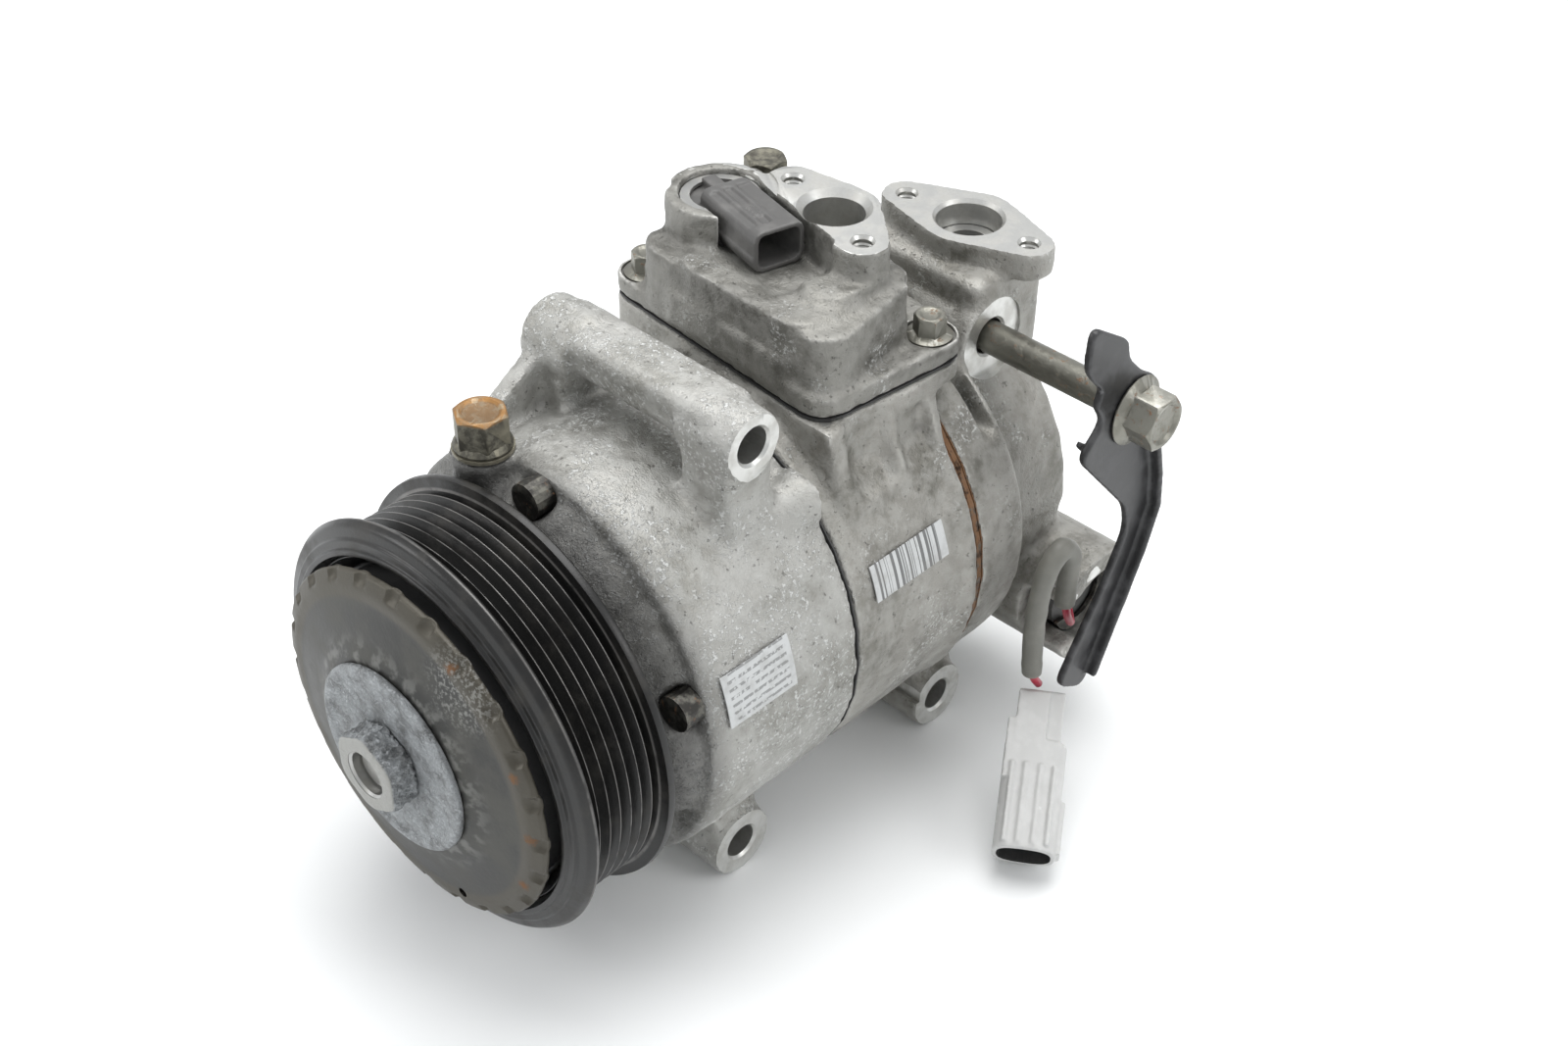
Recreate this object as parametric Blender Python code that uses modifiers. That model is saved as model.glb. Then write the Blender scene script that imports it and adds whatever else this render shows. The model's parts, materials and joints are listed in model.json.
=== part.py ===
"""Automotive AC compressor: clutchless, variable displacement, seven pistons.

The shaft lies along Y: the belt pulley is at the front (low Y) and the rear
head at the back. Sizes below are in millimetres, and the helpers turn them
into metres. Positions are in the shaft frame, whose origin is on the shaft
axis at the pulley's front lip, with +Z up. An empty, "compressor", carries
everything and puts the world origin under the middle of the whole assembly.
"""

import math

import bmesh
import bpy
from mathutils import Matrix, Vector

MM = 0.001
MERGE = 0.00001
GAP = 0.3            # left between touching pieces

# Whole assembly: middle in X and Y, and the floor that the lower ears stand on
MIDDLE_X, MIDDLE_Y, FLOOR_Z = 24.8, 94.4, -75.8

# Stations along the shaft
SNOUT_FRONT, HOUSING_FRONT, SHELL_FRONT = 3.5, 29.5, 48.0
FRONT_SEAM, REAR_SEAM = 95.0, 146.5
SWASH_Y = 80.0
DOME_FRONT, DOME_END, HEAD_END = 167.0, 195.0, 206.0

# Round bodies
ROUND_STEPS = 32
SHELL_R, DOME_R, CRANKCASE_R = 62.3, 55.0, 50.0
SHAFT_R, NOSE_R, TAIL_R = 9.0, 6.0, 7.5
SNOUT_R, PULLEY_BORE_R = 19.5, 29.3

# Belt pulley: seven ribs of the 3.56 mm poly-V section
RIB_PITCH, RIB_COUNT = 3.56, 7
FIRST_ROOT, ROOT_R, CREST_R, LIP_R = 2.72, 54.3, 57.2, 61.2

# Pistons and swash plate
PISTON_COUNT, PISTON_PITCH_R, PISTON_R, BORE_R = 7, 36.0, 13.6, 14.0
PISTON_FRONT, PISTON_TOP = 68.8, 133.0
SLOT_HALF, BRIDGE_R, YOKE_INNER_R, YOKE_HALF = 6.8, 43.4, 27.0, 7.5
PLATE_R, PLATE_HALF = 41.5, 3.2

# Bolts through the castings
BOLT_PITCH_R, BOLT_R, BOLT_HOLE_R = 56.0, 2.8, 3.5
BOLT_COUNT, BOLT_TOP = 5, 90.0

# Mounting ears: hole axes run along X
EAR_HOLE_R = 5.1
TOP_EAR = (74.6, 74.0)
LOW_FRONT_EAR = (70.0, -65.2)
LOW_REAR_EAR = (157.0, -65.2)
REAR_EAR = (179.6, 53.9)
EAR_R, EAR_FACE_X = 10.9, 42.4
TOP_EAR_R, TOP_EAR_X = 9.6, 41.7
REAR_EAR_R, REAR_EAR_X = 14.0, 34.3

# Discharge block and ports
SADDLE_Z, PAD_Z, FLANGE_TOP_Z = 62.9, 99.3, 80.0
BLOCK_BOLTS = ((-43.0, 118.0), (35.0, 150.0), (-35.0, 158.0))
BLOCK_CORNER = (31.0, 111.5)
BLOCK_BASE_Z, BLOCK_SEAT_Z, TOWER_TOP_Z = SADDLE_Z + 1.2, SADDLE_Z + 5.7, 98.6
PASSAGE, PASSAGE_R = (10.0, 139.0), 4.3
DISCHARGE_PORT, SUCTION_PORT, PORT_R, PORT_FLOOR_Z = (4.9, 143.3), (13.8, 191.5), 9.6, 60.6
INLET = (13.8, 198.2)
PAD_THREADS = ((-13.6, 146.5), (22.3, 135.3))
FLANGE_THREADS = ((-7.7, 189.0), (35.1, 192.2))
SENSOR, SENSOR_TURN, SENSOR_Z = (-24.6, 129.3), -14.0, 94.0
RELIEF = (-30.0, 152.5)
THREAD_R, THREAD_DEPTH, SEAT_Z = 3.0, 8.0, 70.0

# Filling plug, control valve, bracket
PLUG = (-20.5, 38.0)
VALVE, VALVE_BOSS_R, VALVE_FACE_X = (193.5, -32.0), 19.5, 73.0
BRACKET_X, BRACKET_T = 82.0, 2.4

AIM = {"X": (0.0, math.pi / 2, 0.0), "Y": (-math.pi / 2, 0.0, 0.0), "Z": (0.0, 0.0, 0.0)}


# ---------------------------------------------------------------- scene helpers

def clear_scene():
    for obj in list(bpy.data.objects):
        bpy.data.objects.remove(obj, do_unlink=True)


def collection(name):
    made = bpy.data.collections.new(name)
    bpy.context.scene.collection.children.link(made)
    return made


def material(name, colour, roughness, metallic):
    made = bpy.data.materials.new(name)
    made.use_nodes = True
    shader = made.node_tree.nodes["Principled BSDF"]
    shader.inputs["Base Color"].default_value = (*colour, 1.0)
    shader.inputs["Roughness"].default_value = roughness
    shader.inputs["Metallic"].default_value = metallic
    return made


FINISHES = {
    "cast": ((0.50, 0.49, 0.46), 0.62, 0.55),
    "dark_cast": ((0.30, 0.29, 0.27), 0.55, 0.6),
    "black": ((0.02, 0.02, 0.02), 0.45, 0.2),
    "slate": ((0.12, 0.12, 0.11), 0.5, 0.4),
    "steel": ((0.45, 0.44, 0.42), 0.35, 1.0),
    "zinc": ((0.42, 0.42, 0.36), 0.4, 0.9),
    "rubber": ((0.03, 0.03, 0.03), 0.8, 0.0),
    "brass": ((0.50, 0.36, 0.18), 0.45, 0.8),
    "plastic": ((0.05, 0.05, 0.05), 0.5, 0.0),
    "pale_plastic": ((0.55, 0.55, 0.54), 0.5, 0.0),
    "sleeve": ((0.17, 0.17, 0.15), 0.6, 0.0),
    "red": ((0.50, 0.04, 0.07), 0.5, 0.0),
    "paper": ((0.75, 0.75, 0.74), 0.6, 0.0),
    "rust": ((0.20, 0.12, 0.07), 0.8, 0.3),
}


def put(obj, home, parent, location=(0, 0, 0), rotation=(0, 0, 0)):
    home.objects.link(obj)
    obj.parent = parent
    obj.location = Vector(location) * MM
    obj.rotation_euler = rotation
    return obj


def finish(obj, finish_name):
    colour, roughness, metallic = FINISHES[finish_name]
    obj.data.materials.clear()
    obj.data.materials.append(material(obj.name, colour, roughness, metallic))
    obj.data.shade_smooth()
    obj.data.set_sharp_from_angle(angle=math.radians(30))
    return obj


# ---------------------------------------------------------------- shape helpers

def shape_box(name, low, high, bevel=0.0):
    """A block from its low corner to its high corner, with bevelled edges."""
    mesh = bpy.data.meshes.new(name)
    cage = bmesh.new()
    bmesh.ops.create_cube(cage, size=1.0)
    size = [(high[i] - low[i]) * MM for i in range(3)]
    bmesh.ops.scale(cage, vec=size, verts=cage.verts)
    cage.to_mesh(mesh)
    cage.free()
    middle = [(high[i] + low[i]) / 2 for i in range(3)]
    obj = put(bpy.data.objects.new(name, mesh), FORMERS, ROOT, middle)
    if bevel:
        edge = obj.modifiers.new("edges", "BEVEL")
        edge.width = bevel * MM
        edge.segments = 2
    return obj


def shape_rod(name, axis, at, length, radius, end_radius=None, sides=20):
    """A cylinder, cone or prism that starts at a point and runs along an axis."""
    mesh = bpy.data.meshes.new(name)
    cage = bmesh.new()
    end_radius = radius if end_radius is None else end_radius
    bmesh.ops.create_cone(cage, cap_ends=True, segments=sides, radius1=radius * MM,
                          radius2=end_radius * MM, depth=length * MM)
    bmesh.ops.translate(cage, vec=(0, 0, length * MM / 2), verts=cage.verts)
    cage.to_mesh(mesh)
    cage.free()
    return put(bpy.data.objects.new(name, mesh), FORMERS, ROOT, at, AIM[axis])


def shape_turned(name, outline, steps=ROUND_STEPS, at=(0, 0, 0), axis="Y"):
    """A solid of revolution about an axis; outline holds (radius, station)."""
    area = 0.0
    for (r0, s0), (r1, s1) in zip(outline, outline[1:] + outline[:1]):
        area += r0 * s1 - r1 * s0
    ordered = outline if area < 0 else outline[::-1]
    closed = min(radius for radius, station in outline) > 0
    if not closed:
        while not (ordered[0][0] == 0 and ordered[-1][0] == 0):
            ordered = ordered[1:] + ordered[:1]
    cage = bmesh.new()
    points = [cage.verts.new((r * MM, 0, s * MM)) for r, s in ordered]
    for first, second in zip(points, points[1:]):
        cage.edges.new((first, second))
    if closed:
        cage.edges.new((points[-1], points[0]))
    mesh = bpy.data.meshes.new(name)
    cage.to_mesh(mesh)
    cage.free()
    obj = put(bpy.data.objects.new(name, mesh), FORMERS, ROOT, at, AIM[axis])
    screw = obj.modifiers.new("turn", "SCREW")
    screw.steps = screw.render_steps = steps
    screw.use_merge_vertices = True
    screw.merge_threshold = MERGE
    return obj


def shape_plate(name, outline, thickness, at=(0, 0, 0), rotation=(0, 0, 0)):
    """A flat outline in its own XY plane, thickened along Z from zero up."""
    curve = bpy.data.curves.new(name, "CURVE")
    curve.dimensions = "2D"
    curve.fill_mode = "BOTH"
    curve.extrude = thickness * MM / 2
    spline = curve.splines.new("POLY")
    spline.points.add(len(outline) - 1)
    for point, (across, along) in zip(spline.points, outline):
        point.co = (across * MM, along * MM, 0, 1)
    spline.use_cyclic_u = True
    return mesh_from_curve(curve, name, at, rotation, thickness / 2)


def shape_tube(name, path, radius, resolution=2):
    """A round tube along a smooth path through hand-picked points."""
    curve = bpy.data.curves.new(name, "CURVE")
    curve.dimensions = "3D"
    curve.bevel_depth = radius * MM
    curve.bevel_resolution = resolution
    curve.use_fill_caps = True
    spline = curve.splines.new("POLY")
    spline.points.add(len(path) - 1)
    for point, place in zip(spline.points, path):
        point.co = (*(Vector(place) * MM), 1)
    return mesh_from_curve(curve, name, (0, 0, 0), (0, 0, 0), 0)


def mesh_from_curve(curve, name, at, rotation, lift):
    guide = bpy.data.objects.new(name + "_guide", curve)
    FORMERS.objects.link(guide)
    bpy.context.view_layer.update()
    graph = bpy.context.evaluated_depsgraph_get()
    mesh = bpy.data.meshes.new_from_object(guide.evaluated_get(graph))
    bpy.data.objects.remove(guide, do_unlink=True)
    cage = bmesh.new()
    cage.from_mesh(mesh)
    bmesh.ops.translate(cage, vec=(0, 0, lift * MM), verts=cage.verts)
    bmesh.ops.remove_doubles(cage, verts=cage.verts, dist=MERGE)
    bmesh.ops.recalc_face_normals(cage, faces=cage.faces)
    cage.to_mesh(mesh)
    cage.free()
    mesh.name = name
    return put(bpy.data.objects.new(name, mesh), FORMERS, ROOT, at, rotation)


def hull_outline(circles, samples=20):
    """The tight belt round some circles (x, y, radius), as a list of points."""
    points = set()
    for x, y, radius in circles:
        for i in range(samples):
            turn = 2 * math.pi * i / samples
            points.add((round(x + radius * math.cos(turn), 4), round(y + radius * math.sin(turn), 4)))
    ordered = sorted(points)

    def half(sequence):
        chain = []
        for p in sequence:
            while len(chain) > 1 and ((chain[-1][0] - chain[-2][0]) * (p[1] - chain[-2][1])
                                      <= (chain[-1][1] - chain[-2][1]) * (p[0] - chain[-2][0])):
                chain.pop()
            chain.append(p)
        return chain[:-1]

    return half(ordered) + half(ordered[::-1])


def smooth_path(points, per_span):
    """Catmull-Rom points through hand-picked ones."""
    ends = [points[0]] + list(points) + [points[-1]]
    path = []
    for i in range(len(points) - 1):
        p0, p1, p2, p3 = (Vector(ends[i + k]) for k in range(4))
        for step in range(per_span):
            t = step / per_span
            path.append(0.5 * (2 * p1 + (p2 - p0) * t + (2 * p0 - 5 * p1 + 4 * p2 - p3) * t * t
                               + (3 * p1 - p0 - 3 * p2 + p3) * t ** 3))
    path.append(Vector(points[-1]))
    return path


def boolean(target, operation, tools, solver="EXACT"):
    for tool in tools:
        step = target.modifiers.new(tool.name, "BOOLEAN")
        step.solver = solver
        step.operation = operation
        step.object = tool
        tool.hide_render = True
        tool.display_type = "WIRE"
    return target


def join(target, *tools):
    return boolean(target, "UNION", tools)


def cut(target, *tools):
    return boolean(target, "DIFFERENCE", tools)


def node(obj, finish_name, parent=None):
    """Moves a shape out of the formers and makes it a named piece."""
    FORMERS.objects.unlink(obj)
    PARTS.objects.link(obj)
    if parent is not None:
        place = obj.location.copy()
        obj.parent = parent
        obj.location = place - parent.location
    return finish(obj, finish_name)


def ring_place(radius, degrees, y):
    turn = math.radians(degrees)
    return (radius * math.cos(turn), y, radius * math.sin(turn))


def bolt_angles():
    return [BOLT_TOP - 360.0 * i / BOLT_COUNT for i in range(BOLT_COUNT)]


def piston_angles():
    return [BOLT_TOP - 360.0 * (i + 0.5) / PISTON_COUNT for i in range(PISTON_COUNT)]


def bolt_holes(label, start, end, radius=BOLT_HOLE_R):
    return [shape_rod(f"{label}_bolt_hole_{i}", "Y", ring_place(BOLT_PITCH_R, angle, start),
                      end - start, radius, sides=8)
            for i, angle in enumerate(bolt_angles())]


# ---------------------------------------------------------------- castings

def ear_bar(label, centre, radius, x_low, x_high, leg_half, leg_to):
    """A boss along X and the leg that ties it to the round body."""
    y, z = centre
    boss = shape_rod(f"{label}_boss", "X", (x_low, y, z), x_high - x_low, radius, sides=24)
    side = 1 if leg_to < z else -1
    low_z, high_z = sorted((leg_to, z + side * 0.4))
    leg = shape_box(f"{label}_leg", (x_low + 2.2, y - leg_half, low_z), (x_high - 2.2, y + leg_half, high_z))
    return boss, leg


def ear_hole(label, centre, x_low, x_high):
    return shape_rod(f"{label}_hole", "X", (x_low - 5, *centre), x_high - x_low + 10, EAR_HOLE_R, sides=20)


def front_housing():
    shell = shape_turned("front_housing", [
        (13.3, SNOUT_FRONT), (SNOUT_R, SNOUT_FRONT), (SNOUT_R, 27.5), (25.0, HOUSING_FRONT),
        (51.0, HOUSING_FRONT), (55.0, 34.5), (59.5, 42.0), (SHELL_R, SHELL_FRONT),
        (SHELL_R, FRONT_SEAM - GAP), (CRANKCASE_R, FRONT_SEAM - GAP), (CRANKCASE_R, 45.0),
        (13.3, 45.0), (13.3, 33.5), (10.0, 33.5), (10.0, 26.0), (13.3, 26.0)])
    near_ear, near_leg = ear_bar("top_near", TOP_EAR, TOP_EAR_R, 22.0, TOP_EAR_X, 9.0, 50.0)
    far_ear, far_leg = ear_bar("top_far", TOP_EAR, TOP_EAR_R + 0.9, -36.0, -18.0, 9.6, 48.0)
    bridge = shape_box("top_bridge", (-31.0, 66.5, 75.6), (34.0, 83.6, 83.0), 2.5)
    low_boss, low_leg = ear_bar("low_front", LOW_FRONT_EAR, EAR_R, -EAR_FACE_X, EAR_FACE_X, 8.6, -51.5)
    plug_boss = shape_rod("plug_boss", "Z", (*PLUG, 46.0), 14.5, 8.6)
    ridge = shape_plate("ridge", hull_outline([(38.0, 54.0, 2.5), (53.0, 60.0, 2.5), (70.0, 70.0, 6.0),
                                               (70.0, 55.0, 6.0)], 12), 6.0, (-33.5, 0, 0),
                        (math.pi / 2, 0, math.pi / 2))
    seam_lug = shape_rod("seam_lug", "Y", ring_place(58.5, 50, 74.0), FRONT_SEAM - GAP - 74.0, 4.0, 8.6)
    bodies = (near_leg, near_ear, far_leg, far_ear, bridge, low_leg, low_boss, plug_boss, ridge, seam_lug)
    boolean(shell, "UNION", bodies, "MANIFOLD")
    pockets = [shape_rod(f"head_pocket_{i}", "Y", ring_place(BOLT_PITCH_R + 1.0, angle, 28.0),
                         13.0, 6.6, sides=14)
               for i, angle in enumerate(bolt_angles())]
    scallops = [shape_rod(f"scallop_{i}", "Y", ring_place(63.0, angle, 28.0), 12.4, 10.5, sides=18)
                for i, angle in enumerate((17.0, -29.0, -55.0, -90.0, -125.0, -160.0))]
    crank = shape_rod("crankcase_clear", "Y", (0, 46.0, 0), 60.0, CRANKCASE_R - 0.2, sides=ROUND_STEPS)
    thread = shape_rod("plug_thread_hole", "Z", (*PLUG, 44.5), 20.0, 4.6, sides=12)
    floor = shape_box("front_floor", (-60, 40, FLOOR_Z - 20), (60, 100, FLOOR_Z))
    top_hole = ear_hole("top", TOP_EAR, -36.0, TOP_EAR_X)
    low_hole = ear_hole("low_front", LOW_FRONT_EAR, -EAR_FACE_X, EAR_FACE_X)
    boolean(shell, "DIFFERENCE", (crank, *bolt_holes("front", 38.0, 100.0), *pockets, *scallops, thread,
                                  top_hole, low_hole, floor), "MANIFOLD")
    return node(shell, "cast")


def cylinder_block():
    low, high = FRONT_SEAM + 0.7, REAR_SEAM - 1.9
    block = shape_turned("cylinder_block", [
        (10.8, high), (10.8, 118.0), (15.5, 118.0), (15.5, low), (SHELL_R, low), (SHELL_R, high)])
    saddle = shape_plate("saddle", hull_outline([(*BLOCK_BOLTS[0], 8.5), (*BLOCK_CORNER, 8.5),
                                                 (33.0, high - 9.2, 9.0), (-40.0, high - 9.2, 9.0)], 16),
                         SADDLE_Z - 38.0, (0, 0, 38.0))
    lobes = [shape_plate(f"saddle_lobe_{i}", hull_outline([(*spot, 8.5), (spot[0], 134.0, 8.5)], 16),
                         6.0, (0, 0, SADDLE_Z - 6.0))
             for i, spot in enumerate(BLOCK_BOLTS[1:])]
    boolean(block, "UNION", (saddle, *lobes), "MANIFOLD")
    bores = [shape_rod(f"bore_{i}", "Y", ring_place(PISTON_PITCH_R, angle, low - 4),
                       high - low + 8, BORE_R, sides=22)
             for i, angle in enumerate(piston_angles())]
    threads = [shape_rod(f"saddle_thread_{i}", "Z", (*spot, 46.0), 20.0, BOLT_HOLE_R, sides=10)
               for i, spot in enumerate(BLOCK_BOLTS)]
    passage = shape_rod("discharge_passage", "Z", (*PASSAGE, 52.0), 20.0, PASSAGE_R, sides=12)
    boolean(block, "DIFFERENCE", (*bores, *bolt_holes("block", 90.0, 160.0), *threads, passage), "MANIFOLD")
    return node(block, "cast")


def rear_housing():
    low = REAR_SEAM + 1.9
    head = shape_turned("rear_housing", [
        (0, HEAD_END - 6), (0, HEAD_END), (38.0, HEAD_END), (46.0, 203.0), (DOME_R, DOME_END),
        (DOME_R, DOME_FRONT + 2), (58.0, DOME_FRONT), (SHELL_R, 164.0), (SHELL_R, low), (51.5, low),
        (51.5, 182.0), (30.0, 182.0), (30.0, low), (26.0, low), (26.0, HEAD_END - 6)])
    suction_block = shape_box("suction_block", (-14.0, 172.0, 40.0), (34.0, 203.0, 73.0), 3.0)
    flange = shape_plate("suction_flange", hull_outline(
        [(*SUCTION_PORT, 15.0), (*FLANGE_THREADS[0], 7.5), (*FLANGE_THREADS[1], 7.5)], 24),
        9.0, (0, 0, FLANGE_TOP_Z - 9.0))
    ear = shape_rod("rear_ear", "X", (-20.0, *REAR_EAR), REAR_EAR_X + 20.0, REAR_EAR_R, sides=24)
    low_boss, low_leg = ear_bar("low_rear", LOW_REAR_EAR, EAR_R, -EAR_FACE_X, EAR_FACE_X, 8.4, -51.5)
    valve_boss = shape_rod("valve_boss", "X", (15.0, *VALVE), VALVE_FACE_X - 15.0, VALVE_BOSS_R, sides=28)
    join(head, suction_block, flange, ear, low_leg, low_boss, valve_boss)
    suction = shape_rod("suction_port", "Z", (*SUCTION_PORT, PORT_FLOOR_Z), 30.0, PORT_R, sides=28)
    inlet = shape_rod("suction_inlet", "Z", (*INLET, 20.0), PORT_FLOOR_Z - 18.0, 3.2, sides=12)
    threads = [shape_rod(f"flange_thread_{i}", "Z", (*spot, FLANGE_TOP_Z - THREAD_DEPTH),
                         20.0, THREAD_R, sides=12)
               for i, spot in enumerate(FLANGE_THREADS)]
    ear_bore = shape_rod("rear_ear_hole", "X", (-30.0, *REAR_EAR), 80.0, 5.6, sides=20)
    ear_face = shape_box("rear_ear_face", (REAR_EAR_X - 0.4, 160.0, 36.0), (REAR_EAR_X + 20, 199.0, 70.8))
    pocket = shape_rod("valve_pocket", "X", (VALVE_FACE_X - 16, *VALVE), 30.0, 12.5, sides=24)
    bore = shape_rod("valve_bore", "X", (24.0, *VALVE), 60.0, 8.0, sides=20)
    mouth = shape_box("valve_mouth", (VALVE_FACE_X - 15.6, VALVE[0] - 30, VALVE[1] - 8),
                      (VALVE_FACE_X + 10, VALVE[0], VALVE[1] + 8))
    floor = shape_box("rear_floor", (-60, 140, FLOOR_Z - 20), (60, 180, FLOOR_Z))
    seam = shape_box("rear_seam_clear", (-60, 130, -SHELL_R - GAP), (60, low, 0))
    cut(head, suction, inlet, ear_face, ear_bore, bore, pocket, mouth, seam, *threads,
        *bolt_holes("rear", 140.0, 162.0), ear_hole("low_rear", LOW_REAR_EAR, -EAR_FACE_X, EAR_FACE_X), floor)
    return node(head, "cast")


def block_outline(corner_radius, samples):
    """The foot of the discharge block: round corners on its bolts and on the plain corner."""
    return hull_outline([(x, y, corner_radius) for x, y in (*BLOCK_BOLTS, BLOCK_CORNER)], samples)


def discharge_block():
    base = shape_plate("discharge_block", block_outline(8.5, 16), 6.0, (0, 0, BLOCK_BASE_Z))
    body = shape_plate("block_body", hull_outline(
        [(-28.0, 116.0, 9.0), (29.0, 114.0, 9.0), (24.0, 140.0, 9.0), (-21.0, 150.0, 9.0)], 20),
        21.0, (0, 0, BLOCK_BASE_Z + 2.0))
    pad = shape_plate("port_pad", hull_outline([(*DISCHARGE_PORT, 13.0), (*PAD_THREADS[0], 7.5),
                                                (*PAD_THREADS[1], 7.5)], 20), PAD_Z - 78.0, (0, 0, 78.0))
    tower_z = BLOCK_BASE_Z + 3.0
    tower = shape_rod("sensor_tower", "Z", (*SENSOR, tower_z), TOWER_TOP_Z - tower_z, 15.5, sides=28)
    relief_boss = shape_rod("relief_boss", "Z", (*RELIEF, 76.0), 17.0, 8.0, sides=16)
    boolean(base, "UNION", (body, tower, pad, relief_boss), "MANIFOLD")
    relief_bore = shape_rod("relief_bore", "Z", (*RELIEF, 80.0), 20.0, 5.0, sides=12)
    seats = [shape_rod(f"bolt_seat_{i}", "Z", (*spot, BLOCK_SEAT_Z), 40.0, 7.4, sides=16)
             for i, spot in enumerate(BLOCK_BOLTS)]
    holes = [shape_rod(f"block_hole_{i}", "Z", (*spot, BLOCK_BASE_Z - 5.0), 20.0, BOLT_HOLE_R, sides=10)
             for i, spot in enumerate(BLOCK_BOLTS)]
    port = shape_rod("discharge_port", "Z", (*DISCHARGE_PORT, 72.0), 40.0, 8.6, sides=28)
    chamfer = shape_rod("discharge_chamfer", "Z", (*DISCHARGE_PORT, PAD_Z - 1.5), 4.0, 8.1, 12.1, sides=28)
    passage = shape_rod("block_passage", "Z", (*PASSAGE, BLOCK_BASE_Z - 5.0), 20.0, PASSAGE_R, sides=12)
    threads = [shape_rod(f"pad_thread_{i}", "Z", (*spot, PAD_Z - 13.0), 20.0, THREAD_R, sides=12)
               for i, spot in enumerate(PAD_THREADS)]
    well = shape_rod("sensor_well", "Z", (*SENSOR, 82.0), 30.0, 11.6, sides=28)
    window = sensor_window("sensor_window")
    boolean(base, "DIFFERENCE", (port, passage, chamfer, well, window, relief_bore, *seats, *holes, *threads),
            "MANIFOLD")
    return node(base, "dark_cast")


# ---------------------------------------------------------------- sheet pieces

def gasket(name, outer, inner, low, thick, finish_name):
    ring = shape_turned(name, [(inner, low), (outer, low), (outer, low + thick), (inner, low + thick)])
    boolean(ring, "DIFFERENCE", bolt_holes(name, low - 4, low + thick + 4), "MANIFOLD")
    return node(ring, finish_name)


def valve_plate():
    low, outer = REAR_SEAM - 0.9, SHELL_R - 0.4
    disc = shape_turned("valve_plate", [(0, low), (outer, low), (outer, low + 1.8), (0, low + 1.8)])
    ports = [shape_rod(f"valve_port_{i}", "Y", ring_place(PISTON_PITCH_R + 4, angle, low - 3),
                       8.0, 3.6, sides=10)
             for i, angle in enumerate(piston_angles())]
    boolean(disc, "DIFFERENCE", (*ports, *bolt_holes("plate", low - 4, low + 6)), "MANIFOLD")
    return node(disc, "rust")


def block_gasket():
    sheet = shape_plate("block_gasket", block_outline(8.2, 12), 0.6, (0, 0, SADDLE_Z + GAP))
    holes = [shape_rod(f"gasket_hole_{i}", "Z", (*spot, SADDLE_Z - 5.0), 12.0, BOLT_HOLE_R, sides=10)
             for i, spot in enumerate(BLOCK_BOLTS)]
    passage = shape_rod("gasket_passage", "Z", (*PASSAGE, SADDLE_Z - 5.0), 12.0, PASSAGE_R, sides=12)
    cut(sheet, passage, *holes)
    return node(sheet, "rubber")


# ---------------------------------------------------------------- fasteners

def flange_bolt(name, axis, at, shank, shank_r, flange_r, flange_t, hexagon_r, hexagon_t, finish_name):
    """Shank from a point along an axis, then its flange and hexagon head."""
    step = {"X": Vector((1, 0, 0)), "Y": Vector((0, 1, 0)), "Z": Vector((0, 0, 1))}[axis]
    start = Vector(at)
    bolt = shape_rod(name, axis, start, shank + 1.0, shank_r, sides=12)
    flange = shape_rod(name + "_flange", axis, start + step * shank, flange_t, flange_r, flange_r - 0.8)
    head = shape_rod(name + "_head", axis, start + step * (shank + flange_t - 0.5),
                     hexagon_t, hexagon_r, sides=6)
    join(bolt, flange, head)
    return node(bolt, finish_name)


def block_bolts():
    tip_z = SADDLE_Z - 6.4
    shank = BLOCK_SEAT_Z + GAP - tip_z
    for i, spot in enumerate(BLOCK_BOLTS):
        flange_bolt(f"block_bolt_{i + 1}", "Z", (*spot, tip_z), shank, BOLT_R, 6.6, 1.4, 4.7, 6.0, "zinc")


def through_bolts():
    for i, angle in enumerate(bolt_angles()):
        name = f"through_bolt_{i + 1}"
        bolt = shape_rod(name, "Y", ring_place(BOLT_PITCH_R, angle, 39.0), 121.0, BOLT_R, sides=10)
        head = shape_rod(name + "_head", "Y", ring_place(BOLT_PITCH_R, angle, 34.0), 6.4, 5.2, sides=16)
        join(bolt, head)
        node(bolt, "steel")


def fill_plug():
    washer_z = 60.5 + GAP
    washer = shape_turned("fill_plug_washer", [(5.2, washer_z), (8.4, washer_z), (8.4, washer_z + 0.9),
                                               (5.2, washer_z + 0.9)], 24, (*PLUG, 0), "Z")
    node(washer, "brass")
    seat = washer_z + 0.9 + GAP
    plug = shape_rod("fill_plug", "Z", (*PLUG, 48.0), seat - 47.0, 4.3, sides=12)
    collar = shape_rod("fill_plug_collar", "Z", (*PLUG, seat), 2.0, 8.0, sides=24)
    head = shape_rod("fill_plug_head", "Z", (*PLUG, seat + 1.5), 8.8, 7.7, sides=6)
    join(plug, collar, head)
    node(plug, "brass")


def relief_valve():
    seat = 93.0 + GAP
    valve = shape_rod("relief_valve", "Z", (*RELIEF, 82.0), seat - 81.0, 4.4, sides=12)
    head = shape_rod("relief_valve_head", "Z", (*RELIEF, seat), 4.2, 6.6, sides=6)
    join(valve, head)
    node(valve, "brass")


def mount_bolt():
    flange_bolt("mount_bolt", "X", (-26.0, *REAR_EAR), BRACKET_X + BRACKET_T + GAP + 26.0, 4.8,
                10.5, 2.4, 8.4, 8.5, "zinc")


# ---------------------------------------------------------------- front drive

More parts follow.
